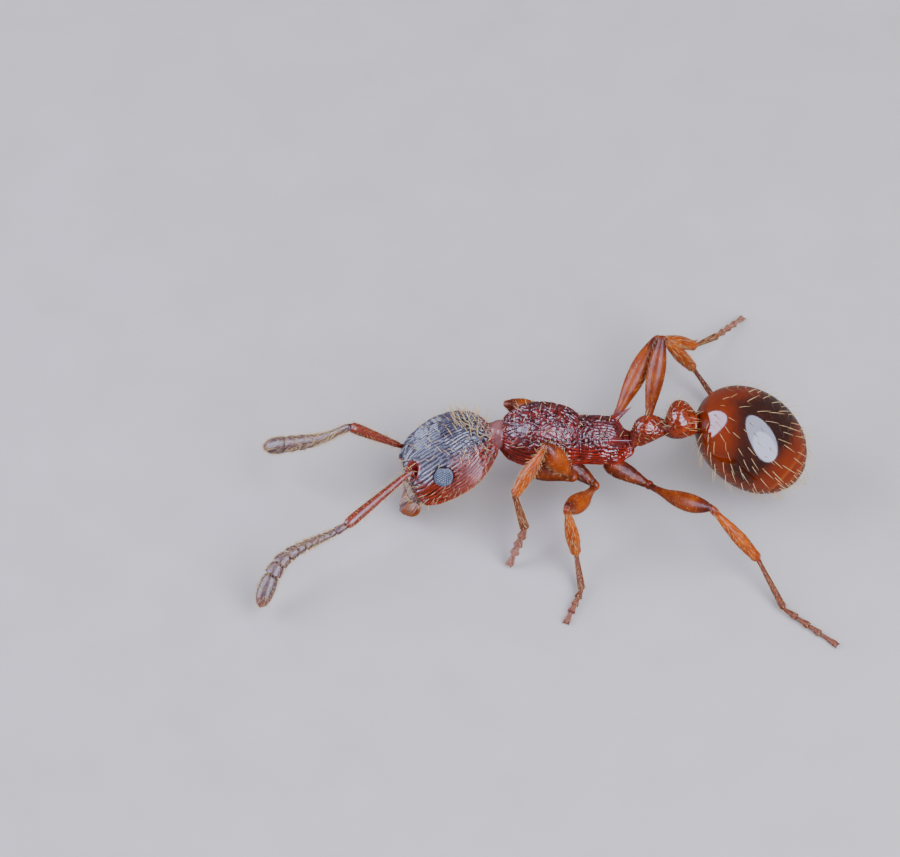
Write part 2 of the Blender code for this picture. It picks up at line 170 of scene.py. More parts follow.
def vein_ridges(points, size, stretch, seed, width):
    """1 on the lines of a wandering network and 0 off them. Width is in millimetres."""
    scale = np.array((1.0, stretch, 1.0))
    level = noise(points / scale, size, seed)
    nudge = 0.12 * size
    slope = [noise(points / scale + step, size, seed) - level for step in np.eye(3) * nudge]
    steep = np.sqrt(sum(part ** 2 for part in slope)) / nudge
    return bell(level / (steep + 0.25 / size), width)


# ---- what the frame says ----
def points_of(*names):
    """The corner points of CAD nodes, in millimetres, each once."""
    found = []
    for name in names:
        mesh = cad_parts[name].data
        flat = np.empty(len(mesh.vertices) * 3, np.float32)
        mesh.vertices.foreach_get("co", flat)
        found.append(flat.reshape(-1, 3).astype(float) / MM)
    return np.unique(np.round(np.concatenate(found), 4), axis=0)


def joint(name, other, reach=0.03):
    """The middle of the cut between two neighbouring nodes."""
    a, b = points_of(name), points_of(other)
    gaps = np.linalg.norm(a[:, None] - b[None], axis=-1)
    reach = max(reach, gaps.min() * 1.05)
    return (a[gaps.min(1) < reach].mean(0) + b[gaps.min(0) < reach].mean(0)) / 2


def seat(name, host):
    """Where a node sits on its host's surface, and the surface's direction outwards there."""
    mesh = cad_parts[host].data
    surface = BVHTree.FromPolygons([corner.co / MM for corner in mesh.vertices],
                                   [tuple(face.vertices) for face in mesh.polygons])
    spots, outs = [], []
    for point in points_of(name):
        spot, out, _, gap = surface.find_nearest(Vector(point))
        if gap < NEAR:
            spots.append(spot)
            outs.append(out)
    return np.mean(spots, 0), unit(np.mean(outs, 0))


def far_end(name, start):
    """The end of a node that lies furthest from a point."""
    points = points_of(name)
    reach = np.linalg.norm(points - start, axis=1)
    return points[reach > reach.max() - NEAR].mean(0)


def inner_part(t):
    """Where a share of the way isn't at one of the ends."""
    return (t > 0.02) & (t < 0.98)


def limb_line(name, start, end):
    """The middle line of a bowed limb as a list of points, and its widest half thickness."""
    run = end - start
    arm = points_of(name) - start
    t = (arm @ run) / (run @ run)
    keep = inner_part(t)
    arch = 4 * t * (1 - t)
    off = arm - np.outer(t, run)
    bow = (off * arch[:, None])[keep].sum(0) / (arch[keep] ** 2).sum()
    bow = bow - run * (bow @ run) / (run @ run)
    thick = np.linalg.norm(off - np.outer(arch, bow), axis=1)[keep].max()
    parts = np.linspace(0, 1, 9)[:, None]
    return start + run * parts + bow * 4 * parts * (1 - parts), thick


def rows_of(points):
    """The sections of a lofted solid: y, middle, half width, top and bottom of each."""
    points = points[np.argsort(points[:, 1])]
    rows = []
    for ring in np.split(points, np.nonzero(np.diff(points[:, 1]) > ROW_GAP)[0] + 1):
        if len(ring) > 5:
            low, high = ring.min(0), ring.max(0)
            rows.append((ring[:, 1].mean(), (low[0] + high[0]) / 2, (high[0] - low[0]) / 2,
                         high[2], low[2]))
    return rows


# ---- grids ----
class Grid:
    """Rows of points round a body. At each point, t is the share of the way along the body and
    turn the share of the way round it. Masks are what the paints read, from about 0 to 1."""

    def __init__(self, points):
        self.points = points
        self.masks = {}
        rows, sides = points.shape[:2]
        self.turn, self.t = np.meshgrid(np.arange(sides) / sides, np.arange(rows) / (rows - 1))

    def along(self):
        """Direction of the rows' succession at each point."""
        return unit(np.gradient(self.points, axis=0))

    def normals(self):
        """Direction out of the body at each point."""
        around = np.roll(self.points, -1, axis=1) - np.roll(self.points, 1, axis=1)
        out = np.cross(around, np.gradient(self.points, axis=0))
        arm = self.points - self.points.mean(1, keepdims=True)
        return unit(out * np.sign((out * arm).sum()))

    def lift(self, height):
        """Move each point out of the body by a height."""
        self.points = self.points + self.normals() * height[..., None]

    def faces(self):
        """Quads between the rows and a fan of triangles on each end."""
        rows, sides = self.points.shape[:2]
        index = np.arange(rows * sides).reshape(rows, sides)
        a, b = index[:-1], np.roll(index, -1, axis=1)[:-1]
        c, d = np.roll(index, -1, axis=1)[1:], index[1:]
        quads = np.stack((a, b, c, d), -1).reshape(-1, 4)
        first, last = rows * sides, rows * sides + 1
        start = [(first, int(q), int(p)) for p, q in zip(index[0], np.roll(index[0], -1))]
        end = [(last, int(p), int(q)) for p, q in zip(index[-1], np.roll(index[-1], -1))]
        return quads.tolist() + start + end

    def corners(self):
        """All points in one list, with the middles of the two ends last."""
        ends = (self.points[0].mean(0), self.points[-1].mean(0))
        return np.concatenate((self.points.reshape(-1, 3), ends))


def loft(rows, count, sides, domes, place=None):
    """A grid through the sections of a body, its ends rounded off by domes: their depths as
    shares of the half width there. Place is the axes and the origin that the rows are in."""
    fine = curve(rows, np.linspace(0, len(rows) - 1, 900))
    walk = walked(fine[:, [0, 2, 3]])
    even = np.stack([np.interp(np.linspace(0, walk[-1], count), walk, fine[:, k])
                     for k in range(5)], 1)
    caps = []
    for row, dome, sense in ((even[0], domes[0], -1.0), (even[-1], domes[1], 1.0)):
        y, middle, half, top, bottom = row
        level, tall = (top + bottom) / 2, (top - bottom) / 2
        caps.append([(y + sense * dome * half * math.sin(a), middle, half * math.cos(a),
                      level + tall * math.cos(a), level - tall * math.cos(a))
                     for a in np.linspace(0.1, 1.52, 14)])
    even = np.concatenate((caps[0][::-1], even, caps[1]))
    turn = np.linspace(-math.pi / 2, 1.5 * math.pi, sides, endpoint=False)
    c, s = np.cos(turn), np.sin(turn)
    across = np.sign(c) * abs(c) ** SQUARE
    up = np.sign(s) * abs(s) ** SQUARE
    y, middle, half, top, bottom = (even[:, k, None] for k in range(5))
    points = np.stack((middle + half * across, y + 0 * across,
                       (top + bottom) / 2 + (top - bottom) / 2 * up), -1)
    if place:
        points = points @ place[0].T + place[1]
    return Grid(points)


def tube(path, radii, count, sides, scale=1.0, flatten=None):
    """A grid round a path. Radii are pairs of a share of the way and a radius, times the scale;
    flatten is a direction and the share of the depth that is left in it."""
    path = np.asarray(path, float)
    fine = curve(path, np.linspace(0, len(path) - 1, 400))
    walk = walked(fine)
    parts = np.linspace(0, 1, count)
    spots = np.stack([np.interp(parts * walk[-1], walk, fine[:, k]) for k in range(3)], 1)
    places, sizes = np.asarray(radii, float).T
    radius = curve(sizes[:, None] * scale, np.interp(parts, places, np.arange(len(places))))[:, 0]
    radius = np.maximum(radius, THINNEST)
    tangent = unit(np.gradient(spots, axis=0))
    side = np.cross(tangent[0], (0.31, 0.17, 0.93))      # a direction that no path starts along
    turn = np.linspace(0, 2 * math.pi, sides, endpoint=False)
    rings = []
    for spot, along, size in zip(spots, tangent, radius):
        side = unit(side - along * (side @ along))
        over = np.cross(along, side)
        rings.append(spot + size * (np.outer(np.cos(turn), side) + np.outer(np.sin(turn), over)))
    points = np.array(rings)
    if flatten:
        direction, share = unit(flatten[0]), flatten[1]
        depth = (points - spots[:, None]) @ direction
        points = points - (1.0 - share) * depth[..., None] * direction
    return Grid(points)


def round_share(grid):
    """How far round its row each point lies: 0 underneath, half at the top."""
    step = np.linalg.norm(np.roll(grid.points, -1, axis=1) - grid.points, axis=-1)
    arc = np.cumsum(step, axis=1)
    return arc / arc[:, -1:]


def stripes(share, number, own, sway, seed, sharp=1.3):
    """Wavy ridges that run along a body: 1 on their crests and 0 between them."""
    wander = sway * (noise(own, 0.20, seed) + 0.4 * noise(own, 0.08, seed + 1))
    return (0.5 + 0.5 * np.cos(2 * math.pi * ((share - 0.5) * number + wander))) ** sharp


def grooves(relief, top, slope):
    """The mask of the painted shade in the grooves between ridges: 1 where the relief is low, 0 on its
    crests.
    """
    return np.clip(top - slope * relief, 0, 1)


# ---- pieces ----
def add_object(name, data):
    """A new object in the scene."""
    thing = bpy.data.objects.new(name, data)
    bpy.context.scene.collection.objects.link(thing)
    return thing


def make_mesh(name, points, faces, material):
    """A mesh from points in millimetres, its faces turned outwards."""
    mesh = bpy.data.meshes.new(name)
    mesh.from_pydata((points * MM).tolist(), [], faces)
    mesh.materials.append(material)
    mesh.calc_loop_triangles()
    corner = np.empty(len(mesh.loop_triangles) * 3, np.int32)
    mesh.loop_triangles.foreach_get("vertices", corner)
    a, b, c = (points[corner.reshape(-1, 3)[:, k]] for k in range(3))
    if (a * np.cross(b, c)).sum() < 0:
        mesh.flip_normals()
    return mesh


def finish_piece(name, mesh, replaced=()):
    """Give a mesh its object and body."""
    mesh.shade_smooth()
    piece = add_object(name, mesh)
    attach(piece, "root")
    if replaced:
        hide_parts(*replaced)


def add_piece(name, grids, material, replaced):
    """One named object from several grids, in metres, riding on the ant's body."""
    points, faces, masks = [], [], sorted({mask for grid in grids for mask in grid.masks})
    values = {mask: [] for mask in masks}
    start = 0
    for grid in grids:
        corners = grid.corners()
        points.append(corners)
        faces += [tuple(start + k for k in face) for face in grid.faces()]
        start += len(corners)
        for mask in masks:
            value = np.broadcast_to(grid.masks.get(mask, 0.0), grid.points.shape[:2])
            values[mask] += [value.ravel(), (value[0].mean(), value[-1].mean())]
    mesh = make_mesh(name, np.concatenate(points), faces, PAINTS[material])
    for mask in masks:
        layer = mesh.attributes.new(mask, "FLOAT", "POINT")
        layer.data.foreach_set("value", np.concatenate(values[mask]).astype(np.float32))
    finish_piece(name, mesh, replaced)


def scatter(grid, count, spacing, seed, where):
    """Rows and columns of points spread over a grid, at least the spacing apart. Where is how
    likely each point is."""
    chance = np.random.default_rng(seed)
    rows, sides = grid.points.shape[:2]
    around = np.linalg.norm(np.roll(grid.points, -1, axis=1) - grid.points, axis=-1)
    down = np.linalg.norm(np.gradient(grid.points, axis=0), axis=-1)
    weight = around * down * where
    weight[0] = weight[-1] = 0.0
    picks = chance.choice(rows * sides, size=count * DRAWS, p=weight.ravel() / weight.sum())
    spots = grid.points.reshape(-1, 3)
    chosen = []
    for pick in picks:
        if len(chosen) == count:
            break
        if not chosen or ((spots[chosen] - spots[pick]) ** 2).sum(1).min() > spacing ** 2:
            chosen.append(pick)
    chosen = np.array(chosen)
    return chosen // sides, chosen % sides


class Coat:
    """Hairs as one mesh: tapered, bent spikes, each with its own patch on the OFBake map."""
    SIDES, RINGS = 4, 5

    def __init__(self, seed):
        self.chance = np.random.default_rng(seed)
        self.points, self.uv = [], []

    def grow(self, grid, count, spacing, seed, length, radius, lean, bend, where=1.0,
             window=(0.0, 0.0, 1.0, 1.0), sway=0.12):
        """Hairs scattered over a grid. Lean tips a hair towards the grid's far end at its root
        (0 stands up, 1 lies along), and bend tips it further by its point. Sway is how much
        their ways differ. The window is their part of the map: its corner and its size."""
        spots = scatter(grid, count, spacing, seed, where)
        out, along, root = grid.normals()[spots], grid.along()[spots], grid.points[spots]
        along = unit(along - out * (along * out).sum(1, keepdims=True))
        spread = self.chance.normal(0, sway, root.shape)
        start = unit(out * (1 - abs(lean)) + along * lean + spread)
        end = unit(out * max(1 - abs(lean + bend), 0.05) + along * (lean + bend) + spread)
        length = np.broadcast_to(length, grid.turn.shape)[spots]
        length = (length * self.chance.uniform(0.75, 1.15, len(root)))[:, None]
        side = unit(np.cross(start, along + 0.01))
        over = np.cross(start, side)
        patch = np.array(window[:2]) + np.stack((grid.turn[spots], grid.t[spots]), -1) * window[2:]
        rings, maps = [], []
        for ring in range(self.RINGS):
            t = ring / (self.RINGS - 1)
            middle = root - start * radius * 1.5 + length * (start * t + (end - start) * t * t / 2)
            size = radius * (1 - t) ** 0.6 + radius * 0.06
            for k in range(self.SIDES):
                a = 2 * math.pi * k / self.SIDES
                rings.append(middle + size * (side * math.cos(a) + over * math.sin(a)))
                maps.append(patch + PATCH * np.array((k / self.SIDES - 0.4, t - 0.5)))
        self.points.append(np.stack(rings, 1))
        self.uv.append(np.stack(maps, 1).clip(0.0, 1.0))

    def keep_above_floor(self):
        """Raise what reaches below the floor."""
        for points in self.points:
            points[..., 2] = np.maximum(points[..., 2], FLOOR_GAP)

    def add(self, name):
        """Make the coat's object."""
        points, sides = np.concatenate(self.points), self.SIDES
        number, each = points.shape[:2]
        hair = []
        for ring in range(self.RINGS - 1):
            for k in range(sides):
                a, b = ring * sides + k, ring * sides + (k + 1) % sides
                hair.append((a, b, b + sides, a + sides))
        hair = np.array([*hair, tuple(reversed(range(sides))), tuple(range(each - sides, each))])
        faces = (hair[None] + (np.arange(number) * each)[:, None, None]).reshape(-1, 4)
        mesh = make_mesh(name, points.reshape(-1, 3), faces.tolist(), PAINTS["hair"])
        corners = np.empty(len(mesh.loops), np.int32)
        mesh.loops.foreach_get("vertex_index", corners)
        maps = np.concatenate(self.uv).reshape(-1, 2)[corners].astype(np.float32)
        mesh.uv_layers.new(name="OFBake").data.foreach_set("uv", maps.ravel())
        finish_piece(name, mesh)


# ---- materials ----
class Paint:
    """A Principled material whose nodes are chained one by one. Sizes are in millimetres."""

    def __init__(self, name, **values):
        self.material = bpy.data.materials.new(name)
        self.material.use_nodes = True
        self.tree = self.material.node_tree
        self.shader = self.tree.nodes["Principled BSDF"]
        for key, value in values.items():
            self.shader.inputs[key.replace("_", " ")].default_value = value
        self.place = self.node("TexCoord").outputs["Object"]

    def link(self, source, target):
        self.tree.links.new(source, target)

    def node(self, kind, **values):
        """A new node with some of its inputs set."""
        node = self.tree.nodes.new("ShaderNode" + kind)
        for key, value in values.items():
            node.inputs[key].default_value = value
        return node

    def noise(self, size, detail=3.0):
        """Noise with lumps of a size."""
        node = self.node("TexNoise", Scale=1.0 / (size * MM), Detail=detail, Roughness=0.55)
        self.link(self.place, node.inputs["Vector"])
        return node.outputs["Fac"]

    def mask(self, name):
        """A value painted on the mesh by its own making."""
        node = self.node("Attribute")
        node.attribute_name = name
        return node.outputs["Fac"]

    def steps(self, source, *stops):
        """Colours or grey values at two places from 0 to 1."""
        node = self.node("ValToRGB")
        for element, (place, colour) in zip(node.color_ramp.elements, stops):
            element.position = place
            element.color = (*((colour,) * 3 if isinstance(colour, float) else colour), 1.0)
        self.link(source, node.inputs["Fac"])
        return node.outputs["Color"]

    def mix(self, share, first, second, blend="MIX"):
        """Two colours mixed by a share. Each colour is three numbers or a node's output."""
        node = self.node("Mix")
        node.data_type = "RGBA"
        node.blend_type = blend
        self.link(share, node.inputs[0])
        for value, socket in ((first, node.inputs[6]), (second, node.inputs[7])):
            if isinstance(value, bpy.types.NodeSocket):
                self.link(value, socket)
            else:
                socket.default_value = (*value, 1.0)
        return node.outputs[2]

    def colour(self, source):
        self.link(source, self.shader.inputs["Base Color"])

    def rough(self, source, low, high):
        """Roughness from a source, and a higher one where the mask named dull is painted."""
        value = self.steps(source, (0.3, low), (0.7, high))
        value = self.mix(self.mask("dull"), value, (DULL_ROUGHNESS,) * 3)
        self.link(value, self.shader.inputs["Roughness"])

    def bump(self, source, height):
        """Fine relief of a height."""
        node = self.node("Bump", Distance=height * MM)
        self.link(source, node.inputs["Height"])
        self.link(node.outputs["Normal"], self.shader.inputs["Normal"])


def shell_paint(name, colours, valley_shade, roughness, patchy=0.12, grain=0.012, depth=0.0012,
                glow=0.25, coat=0.25, index=1.62, **tones):
    """Shell over a little glow from within: mottled in two colours, with painted shade darkening its
    grooves.
    Each tone is another pair of colours, shown where the mask of its name is painted."""
    paint = Paint(name, Subsurface_Weight=glow, Subsurface_Scale=0.00005, IOR=index,
                  Coat_Weight=coat, Coat_Roughness=roughness * 0.6, Coat_IOR=1.7)
    paint.shader.inputs["Subsurface Radius"].default_value = (1.0, 0.35, 0.15)
    mottle = paint.steps(paint.noise(patchy), (0.35, 0.0), (0.65, 1.0))
    base = paint.mix(mottle, *colours)
    for mask, pair in tones.items():
        base = paint.mix(paint.mask(mask), base, paint.mix(mottle, *pair))
    # Painted shade: the valley colour multiplies the base where the groove mask is painted, in the
    # creases between ridges.
    paint.colour(paint.mix(paint.mask("groove"), base, valley_shade, "MULTIPLY"))
    paint.rough(paint.noise(grain * 2.5), roughness * 0.8, roughness * 1.25)
    paint.bump(paint.noise(grain), depth)
    return paint.material


def make_paints():
    """Every material of the ant, by name. Colours come in pairs, light and dark."""
    hair = Paint("hair", Roughness=0.35, Subsurface_Weight=0.3, Subsurface_Scale=0.00001,
                 Specular_IOR_Level=0.6)
    hair.colour(hair.steps(hair.noise(0.06), (0.3, (0.46, 0.29, 0.10)), (0.7, (0.68, 0.50, 0.23))))
    floor = Paint("floor_card", Roughness=0.75)
    floor.colour(floor.steps(floor.noise(0.8, 2.0), (0.3, (0.46, 0.405, 0.345)),
                             (0.7, (0.49, 0.435, 0.375))))
    return {
        "head": shell_paint(
            "head_shell", ((0.32, 0.026, 0.004), (0.19, 0.012, 0.003)), (0.08, 0.05, 0.06), 0.18,
            coat=0.40,
            # dusk: the crown's own dark brown-black, tinted bluish grey as a painted sheen of the lamps.
            dusk=((0.105, 0.092, 0.120), (0.060, 0.050, 0.068)),
            amber=((0.58, 0.13, 0.010), (0.42, 0.075, 0.006)),
            ruby=((0.17, 0.004, 0.004), (0.11, 0.002, 0.003))),
        "trunk": shell_paint(
            "trunk_shell", ((0.33, 0.016, 0.003), (0.18, 0.007, 0.002)), (0.20, 0.09, 0.09), 0.15,
            coat=0.35,
            dusk=((0.085, 0.020, 0.026), (0.050, 0.010, 0.012)),
            amber=((0.52, 0.09, 0.008), (0.38, 0.05, 0.006))),
        "waist": shell_paint(
            "waist_shell", ((0.31, 0.034, 0.003), (0.19, 0.016, 0.002)), (0.4, 0.3, 0.25), 0.17,
            coat=0.4, dusk=((0.09, 0.018, 0.012), (0.055, 0.010, 0.008))),
        "neck": shell_paint(
            "neck_skin", ((0.30, 0.115, 0.105), (0.19, 0.055, 0.050)), (0.6, 0.5, 0.5), 0.23,
            grain=0.02),
        "gaster": shell_paint(
            "gaster_shell", ((0.195, 0.020, 0.001), (0.145, 0.014, 0.001)), (0.5, 0.4, 0.4), 0.09,
            patchy=0.3, grain=0.03, depth=0.0002, glow=0.15, coat=0.7,
            dusk=((0.022, 0.004, 0.002), (0.013, 0.003, 0.002)),
            amber=((0.31, 0.058, 0.003), (0.24, 0.042, 0.002))),
        "leg": shell_paint(
            "leg_shell", ((0.43, 0.082, 0.000), (0.26, 0.030, 0.000)), (0.4, 0.3, 0.3), 0.36,
            patchy=0.10, glow=0.30, coat=0.03, index=1.42,
            dusk=((0.13, 0.016, 0.004), (0.075, 0.009, 0.003))),
        "foot": shell_paint(
            "foot_shell", ((0.17, 0.034, 0.003), (0.10, 0.016, 0.002)), (0.4, 0.3, 0.3), 0.50,
            patchy=0.06, glow=0.25, coat=0.0, index=1.42,
            dusk=((0.26, 0.085, 0.060), (0.18, 0.055, 0.038))),
        "scape": shell_paint(
            "scape_shell", ((0.26, 0.034, 0.012), (0.16, 0.018, 0.009)), (0.4, 0.3, 0.3), 0.31,
            patchy=0.06, coat=0.2, ruby=((0.20, 0.005, 0.004), (0.13, 0.003, 0.003))),
        "feeler": shell_paint(
            "feeler_shell", ((0.115, 0.055, 0.058), (0.070, 0.032, 0.036)), (0.35, 0.25, 0.25), 0.36,
            patchy=0.05, grain=0.008, glow=0.2, coat=0.2,
            amber=((0.26, 0.085, 0.045), (0.18, 0.055, 0.030))),
        "jaw": shell_paint(
            "jaw_shell", ((0.36, 0.090, 0.004), (0.22, 0.042, 0.003)), (0.3, 0.2, 0.2), 0.30,
            patchy=0.06, glow=0.3, coat=0.15, dusk=((0.10, 0.028, 0.014), (0.06, 0.018, 0.010))),
        # Black facets coloured blue-grey: a painted reflection of the lamps and sky.
        "eye": shell_paint(
            "eye_facets_painted_reflection", ((0.110, 0.135, 0.185), (0.070, 0.085, 0.125)), (0.03, 0.03, 0.04), 0.20,
            patchy=0.04, grain=0.004, depth=0.0002, glow=0.05, coat=0.4),
        "hair": hair.material,
        "floor": floor.material}


PAINTS = make_paints()


# ---- head ----
def head_place():
    """The head's own axes and origin: +X its left, +Y forward, +Z its top."""
    pitch, yaw, roll = (math.radians(a) for a in HEAD_ANGLES)
    forward = np.array((math.sin(yaw) * math.cos(pitch), -math.cos(yaw) * math.cos(pitch),
                        -math.sin(pitch)))
    level = np.array((math.cos(yaw), math.sin(yaw), 0.0))
    top = np.cross(level, forward)
    top = top if top[2] > 0 else -top
    left = level * math.cos(roll) + top * math.sin(roll)
    top = top * math.cos(roll) - level * math.sin(roll)
    axes = np.stack((left, forward, top), 1)
    own = points_of("head") @ axes
    low, high = own.min(0), own.max(0)
    nape = own[own[:, 1] < low[1] + ROW_GAP]
    origin = np.array(((low[0] + high[0]) / 2, low[1], (nape[:, 2].min() + nape[:, 2].max()) / 2))
    return axes, axes @ origin


HEAD_AXES, HEAD_ORIGIN = head_place()


def to_head(points):
    """Points in the head's own axes."""
    return (points - HEAD_ORIGIN) @ HEAD_AXES


def off_eye(name, own):
    """How far points are from an eye's middle, in the head's own axes."""
    return np.linalg.norm(own - to_head(points_of(name).mean(0)), axis=-1)


def make_head():
    """The head capsule with its ridges, eye rims, sockets and clypeus."""
    grid = loft(rows_of(to_head(points_of("head"))), 230, 620, (0.25, 0.42), (HEAD_AXES, HEAD_ORIGIN))
    own = to_head(grid.points)
    x, y, z = own[..., 0], own[..., 1], own[..., 2]
    share = round_share(grid)
    turn = abs(share - 0.5)                      # 0 at the crown, 0.25 at the side
    smooth = ramp(z, -0.27, -0.34)
    front = ramp(y, 0.94, 1.0)
    relief = head_relief(own, share, turn) * (1 - 0.7 * smooth)
    height = CORD_HEIGHT * (relief - 0.55) * (1 - 0.7 * front)
    # Painted shade in the grooves between the head's cords, less on the lower cheeks and the front.
    groove = grooves(relief, 1.15, 1.9) * (1 - 0.6 * smooth) * (1 - 0.5 * front)

    # Dark crown and front: their own dark colour, with a bluish grey tone that is painted sheen.
    dusk = ramp(turn + 0.02 * noise(own, 0.12, 7), 0.225, 0.15) * ramp(y, 1.0, 0.90)
    dusk = np.maximum(dusk * ramp(y, -0.04, 0.05), 0.85 * front)
    amber = np.maximum(0.9 * ramp(z, -0.12, -0.25), 0.10 * front)
    ruby = np.zeros_like(dusk)
    for name in ("eye_L", "eye_R"):
        away = off_eye(name, own)
        height = height * ramp(away, 0.098, 0.122) - 0.014 * bell(away - 0.104, 0.011)
        # Painted shade in the groove round each eye.
        groove = np.maximum(groove, bell(away - 0.104, 0.012))
    for name, side in (("scape_L", 1.0), ("scape_R", -1.0)):
        arm = own - to_head(seat(name, "head")[0])
        aside = np.sqrt(arm[..., 0] ** 2 + arm[..., 2] ** 2)
        pit = np.sqrt(((arm[..., 1] + 0.050) / 0.138) ** 2 + (aside / 0.090) ** 2)
        inner = ramp(side * arm[..., 0] - 0.5 * arm[..., 2], 0.03, -0.03)
        lobe = bell(pit - 1.22, 0.26) * inner * ramp(arm[..., 1], -0.20, -0.10)
        height = height * ramp(pit, 0.9, 1.25) - 0.056 * ramp(pit, 1.0, 0.25) + 0.034 * lobe
        groove = groove * ramp(pit, 0.9, 1.25)
        dusk = dusk * ramp(pit, 0.95, 1.2)
        amber = amber * ramp(pit, 0.95, 1.4)
        ruby = np.maximum(ruby, ramp(pit, 1.12, 0.8))
    lip = bell(y - 1.045, 0.022) * ramp(abs(x), 0.22, 0.16) * ramp(z, 0.10, 0.02)
    grid.lift(height + 0.016 * lip - 0.010 * bell(y - 1.005, 0.014) * ramp(z, 0.12, 0.04))
    cheek = ramp(turn + 0.02 * noise(own, 0.12, 9), 0.19, 0.26) * ramp(y, 0.80, 0.55)
    grid.masks = {"groove": groove, "dusk": np.clip(dusk, 0, 1), "ruby": ruby,
                  "amber": np.clip(amber * (1 - ruby), 0, 1),
                  "dull": np.clip(np.maximum(0.9 * cheek, 0.8 * front), 0, 1)}
    add_piece("head_shell", [grid], "head", ["head"])
    return grid


def head_relief(own, share, turn):
    """Wavy cords with cross links along the head, and a net on the nape and behind the eyes."""
    y = own[..., 1]
    zones = [(number, bell(y - centre, width))
             for number, centre, width in ((66, 0.45, 0.36), (50, 0.95, 0.22), (46, -0.02, 0.20))]
    cords = sum(stripes(share, number, own, 0.55, 1, 0.75) * weight for number, weight in zones)
    cords = cords / sum(weight for _, weight in zones)
    cords = cords * (0.86 + 0.24 * noise(own, 0.045, 3))
    cords = np.maximum(cords, 0.62 * vein_ridges(own, 0.075, 0.55, 8, 0.0045))
    net = cell_ridges(own + 0.014 * noise(own, 0.05, 5)[..., None], 0.050, 1.5, 11, 0.15)
    netted = ramp(y + 0.05 * noise(own, 0.12, 4), 0.20, 0.06)
    netted = np.maximum(netted, 0.8 * bell(turn - 0.17, 0.05) * ramp(y, 0.40, 0.24))
    return cords * (1 - netted) + net * netted


def make_eye(name):
    """A compound eye: a low dome of six-sided facets."""
    points = points_of(name)
    middle = points.mean(0)
    own = to_head(middle)
    out = HEAD_AXES @ unit(np.array((own[0], 0.0, own[2] * 1.15)))
    forward = unit(HEAD_AXES[:, 1] - out * (HEAD_AXES[:, 1] @ out))
    over = np.cross(out, forward)
    across = (points - middle) @ forward
    wide = (across.max() - across.min()) / 2 * 0.92
    top = ((points - middle) @ out).max()
    tall = top * 1.25
    slope = np.linspace(0.001, 1.0, 110) * math.radians(112)
    turn = np.linspace(0, 2 * math.pi, 300, endpoint=False)
    slope, turn = np.meshgrid(slope, turn, indexing="ij")
    edge = facet_edges(slope * np.cos(turn), slope * np.sin(turn), math.radians(FACET))
    bulge = 0.0095 * (1 - edge ** 2)
    ball = np.stack((np.sin(slope) * np.cos(turn) * (wide + bulge),
                     np.sin(slope) * np.sin(turn) * (wide * 0.94 + bulge),
                     np.cos(slope) * (tall + bulge)), -1)
    grid = Grid(middle + out * (top - tall) + ball @ np.stack((forward, over, out)))
    # Painted shade in the creases between facets.
    grid.masks["groove"] = ramp(edge, 0.45, 0.85)
    add_piece(name + "_facets", [grid], "eye", [name])


def facet_edges(x, y, pitch):
    """Six-sided cells of a pitch on a plane: 0 in the middle of each, about 1 on its edge."""
    scale = 2 / pitch / math.sqrt(3)
    q = (x * math.sqrt(3) / 3 - y / 3) * scale
    r = y * 2 / 3 * scale
    s = -q - r
    near = [np.round(value) for value in (q, r, s)]
    error = [abs(n - value) for n, value in zip(near, (q, r, s))]
    first = (error[0] > error[1]) & (error[0] > error[2])
    second = ~first & (error[1] > error[2])
    dx = q - np.where(first, -near[1] - near[2], near[0])
    dy = r - np.where(second, -near[0] - near[2], near[1])
    return np.sqrt(np.maximum(dx * dx + dy * dy + dx * dy, 0.0)) / 0.58


def make_jaw(name):
    """A mandible: a flat curved blade, ridged along, with teeth on the inner front edge."""
    side = 1.0 if name.endswith("L") else -1.0
    blade = loft(rows_of(to_head(points_of(name))), 70, 130, (0.1, 0.5), (HEAD_AXES, HEAD_ORIGIN))
    own = to_head(blade.points)
    lines = stripes(round_share(blade), 24, own, 0.4, 21)
    fade = ramp(blade.t, 0.02, 0.15) * ramp(blade.t, 0.97, 0.8)
    blade.lift(0.0045 * (lines - 0.5) * fade)
    inner = ramp(side * own[..., 0], 0.05, 0.02)
    # Painted shade between the jaw's ridges.
    blade.masks["groove"] = 0.7 * (1 - lines) * fade
    blade.masks["dusk"] = np.clip(0.7 * inner + 0.5 * ramp(blade.t, 0.85, 1.0), 0, 1)
    parts = [blade]
    flat = HEAD_AXES @ np.array((0.0, -0.12, 1.0))
    way = HEAD_AXES @ unit(np.array((-side * 0.35, 0.85, -0.25)))
    for place, size in TEETH:
        ring = own[int(place * (len(own) - 1))]
        edge = HEAD_AXES @ ring[np.argmin(side * ring[:, 0])] + HEAD_ORIGIN
        tooth = tube([edge - way * size * 0.8, edge + way * size * 0.3, edge + way * size],
                     ((0, size * 0.6), (0.5, size * 0.45), (1, 0.001)), 14, 14, flatten=(flat, 0.7))
        tooth.masks["dusk"] = 0.5 + 0.5 * tooth.t
        parts.append(tooth)
    add_piece(name + "_blade", parts, "jaw", [name])


# ---- trunk and waist ----
def make_neck():
    """The smooth ring of the neck, from the back of the head to the collar."""
    collar = joint("neck", "pronotum")
    nape = joint("neck", "head")
    way = unit(collar - nape)
    _, reach = limb_line("neck", nape, collar)
    path = [nape - way * 0.05, nape + way * 0.01, (nape + collar) / 2, collar, collar + way * 0.05]
    sizes = ((0, 0.62), (0.2, 0.74), (0.32, 0.88), (0.5, 0.98), (0.68, 0.96), (0.82, 0.84), (1, 0.7))
    grid = tube(path, sizes, 60, 72, reach)
    grid.lift(0.002 * noise(grid.points, 0.06, 31))
    add_piece("neck_ring", [grid], "neck", ["neck"])


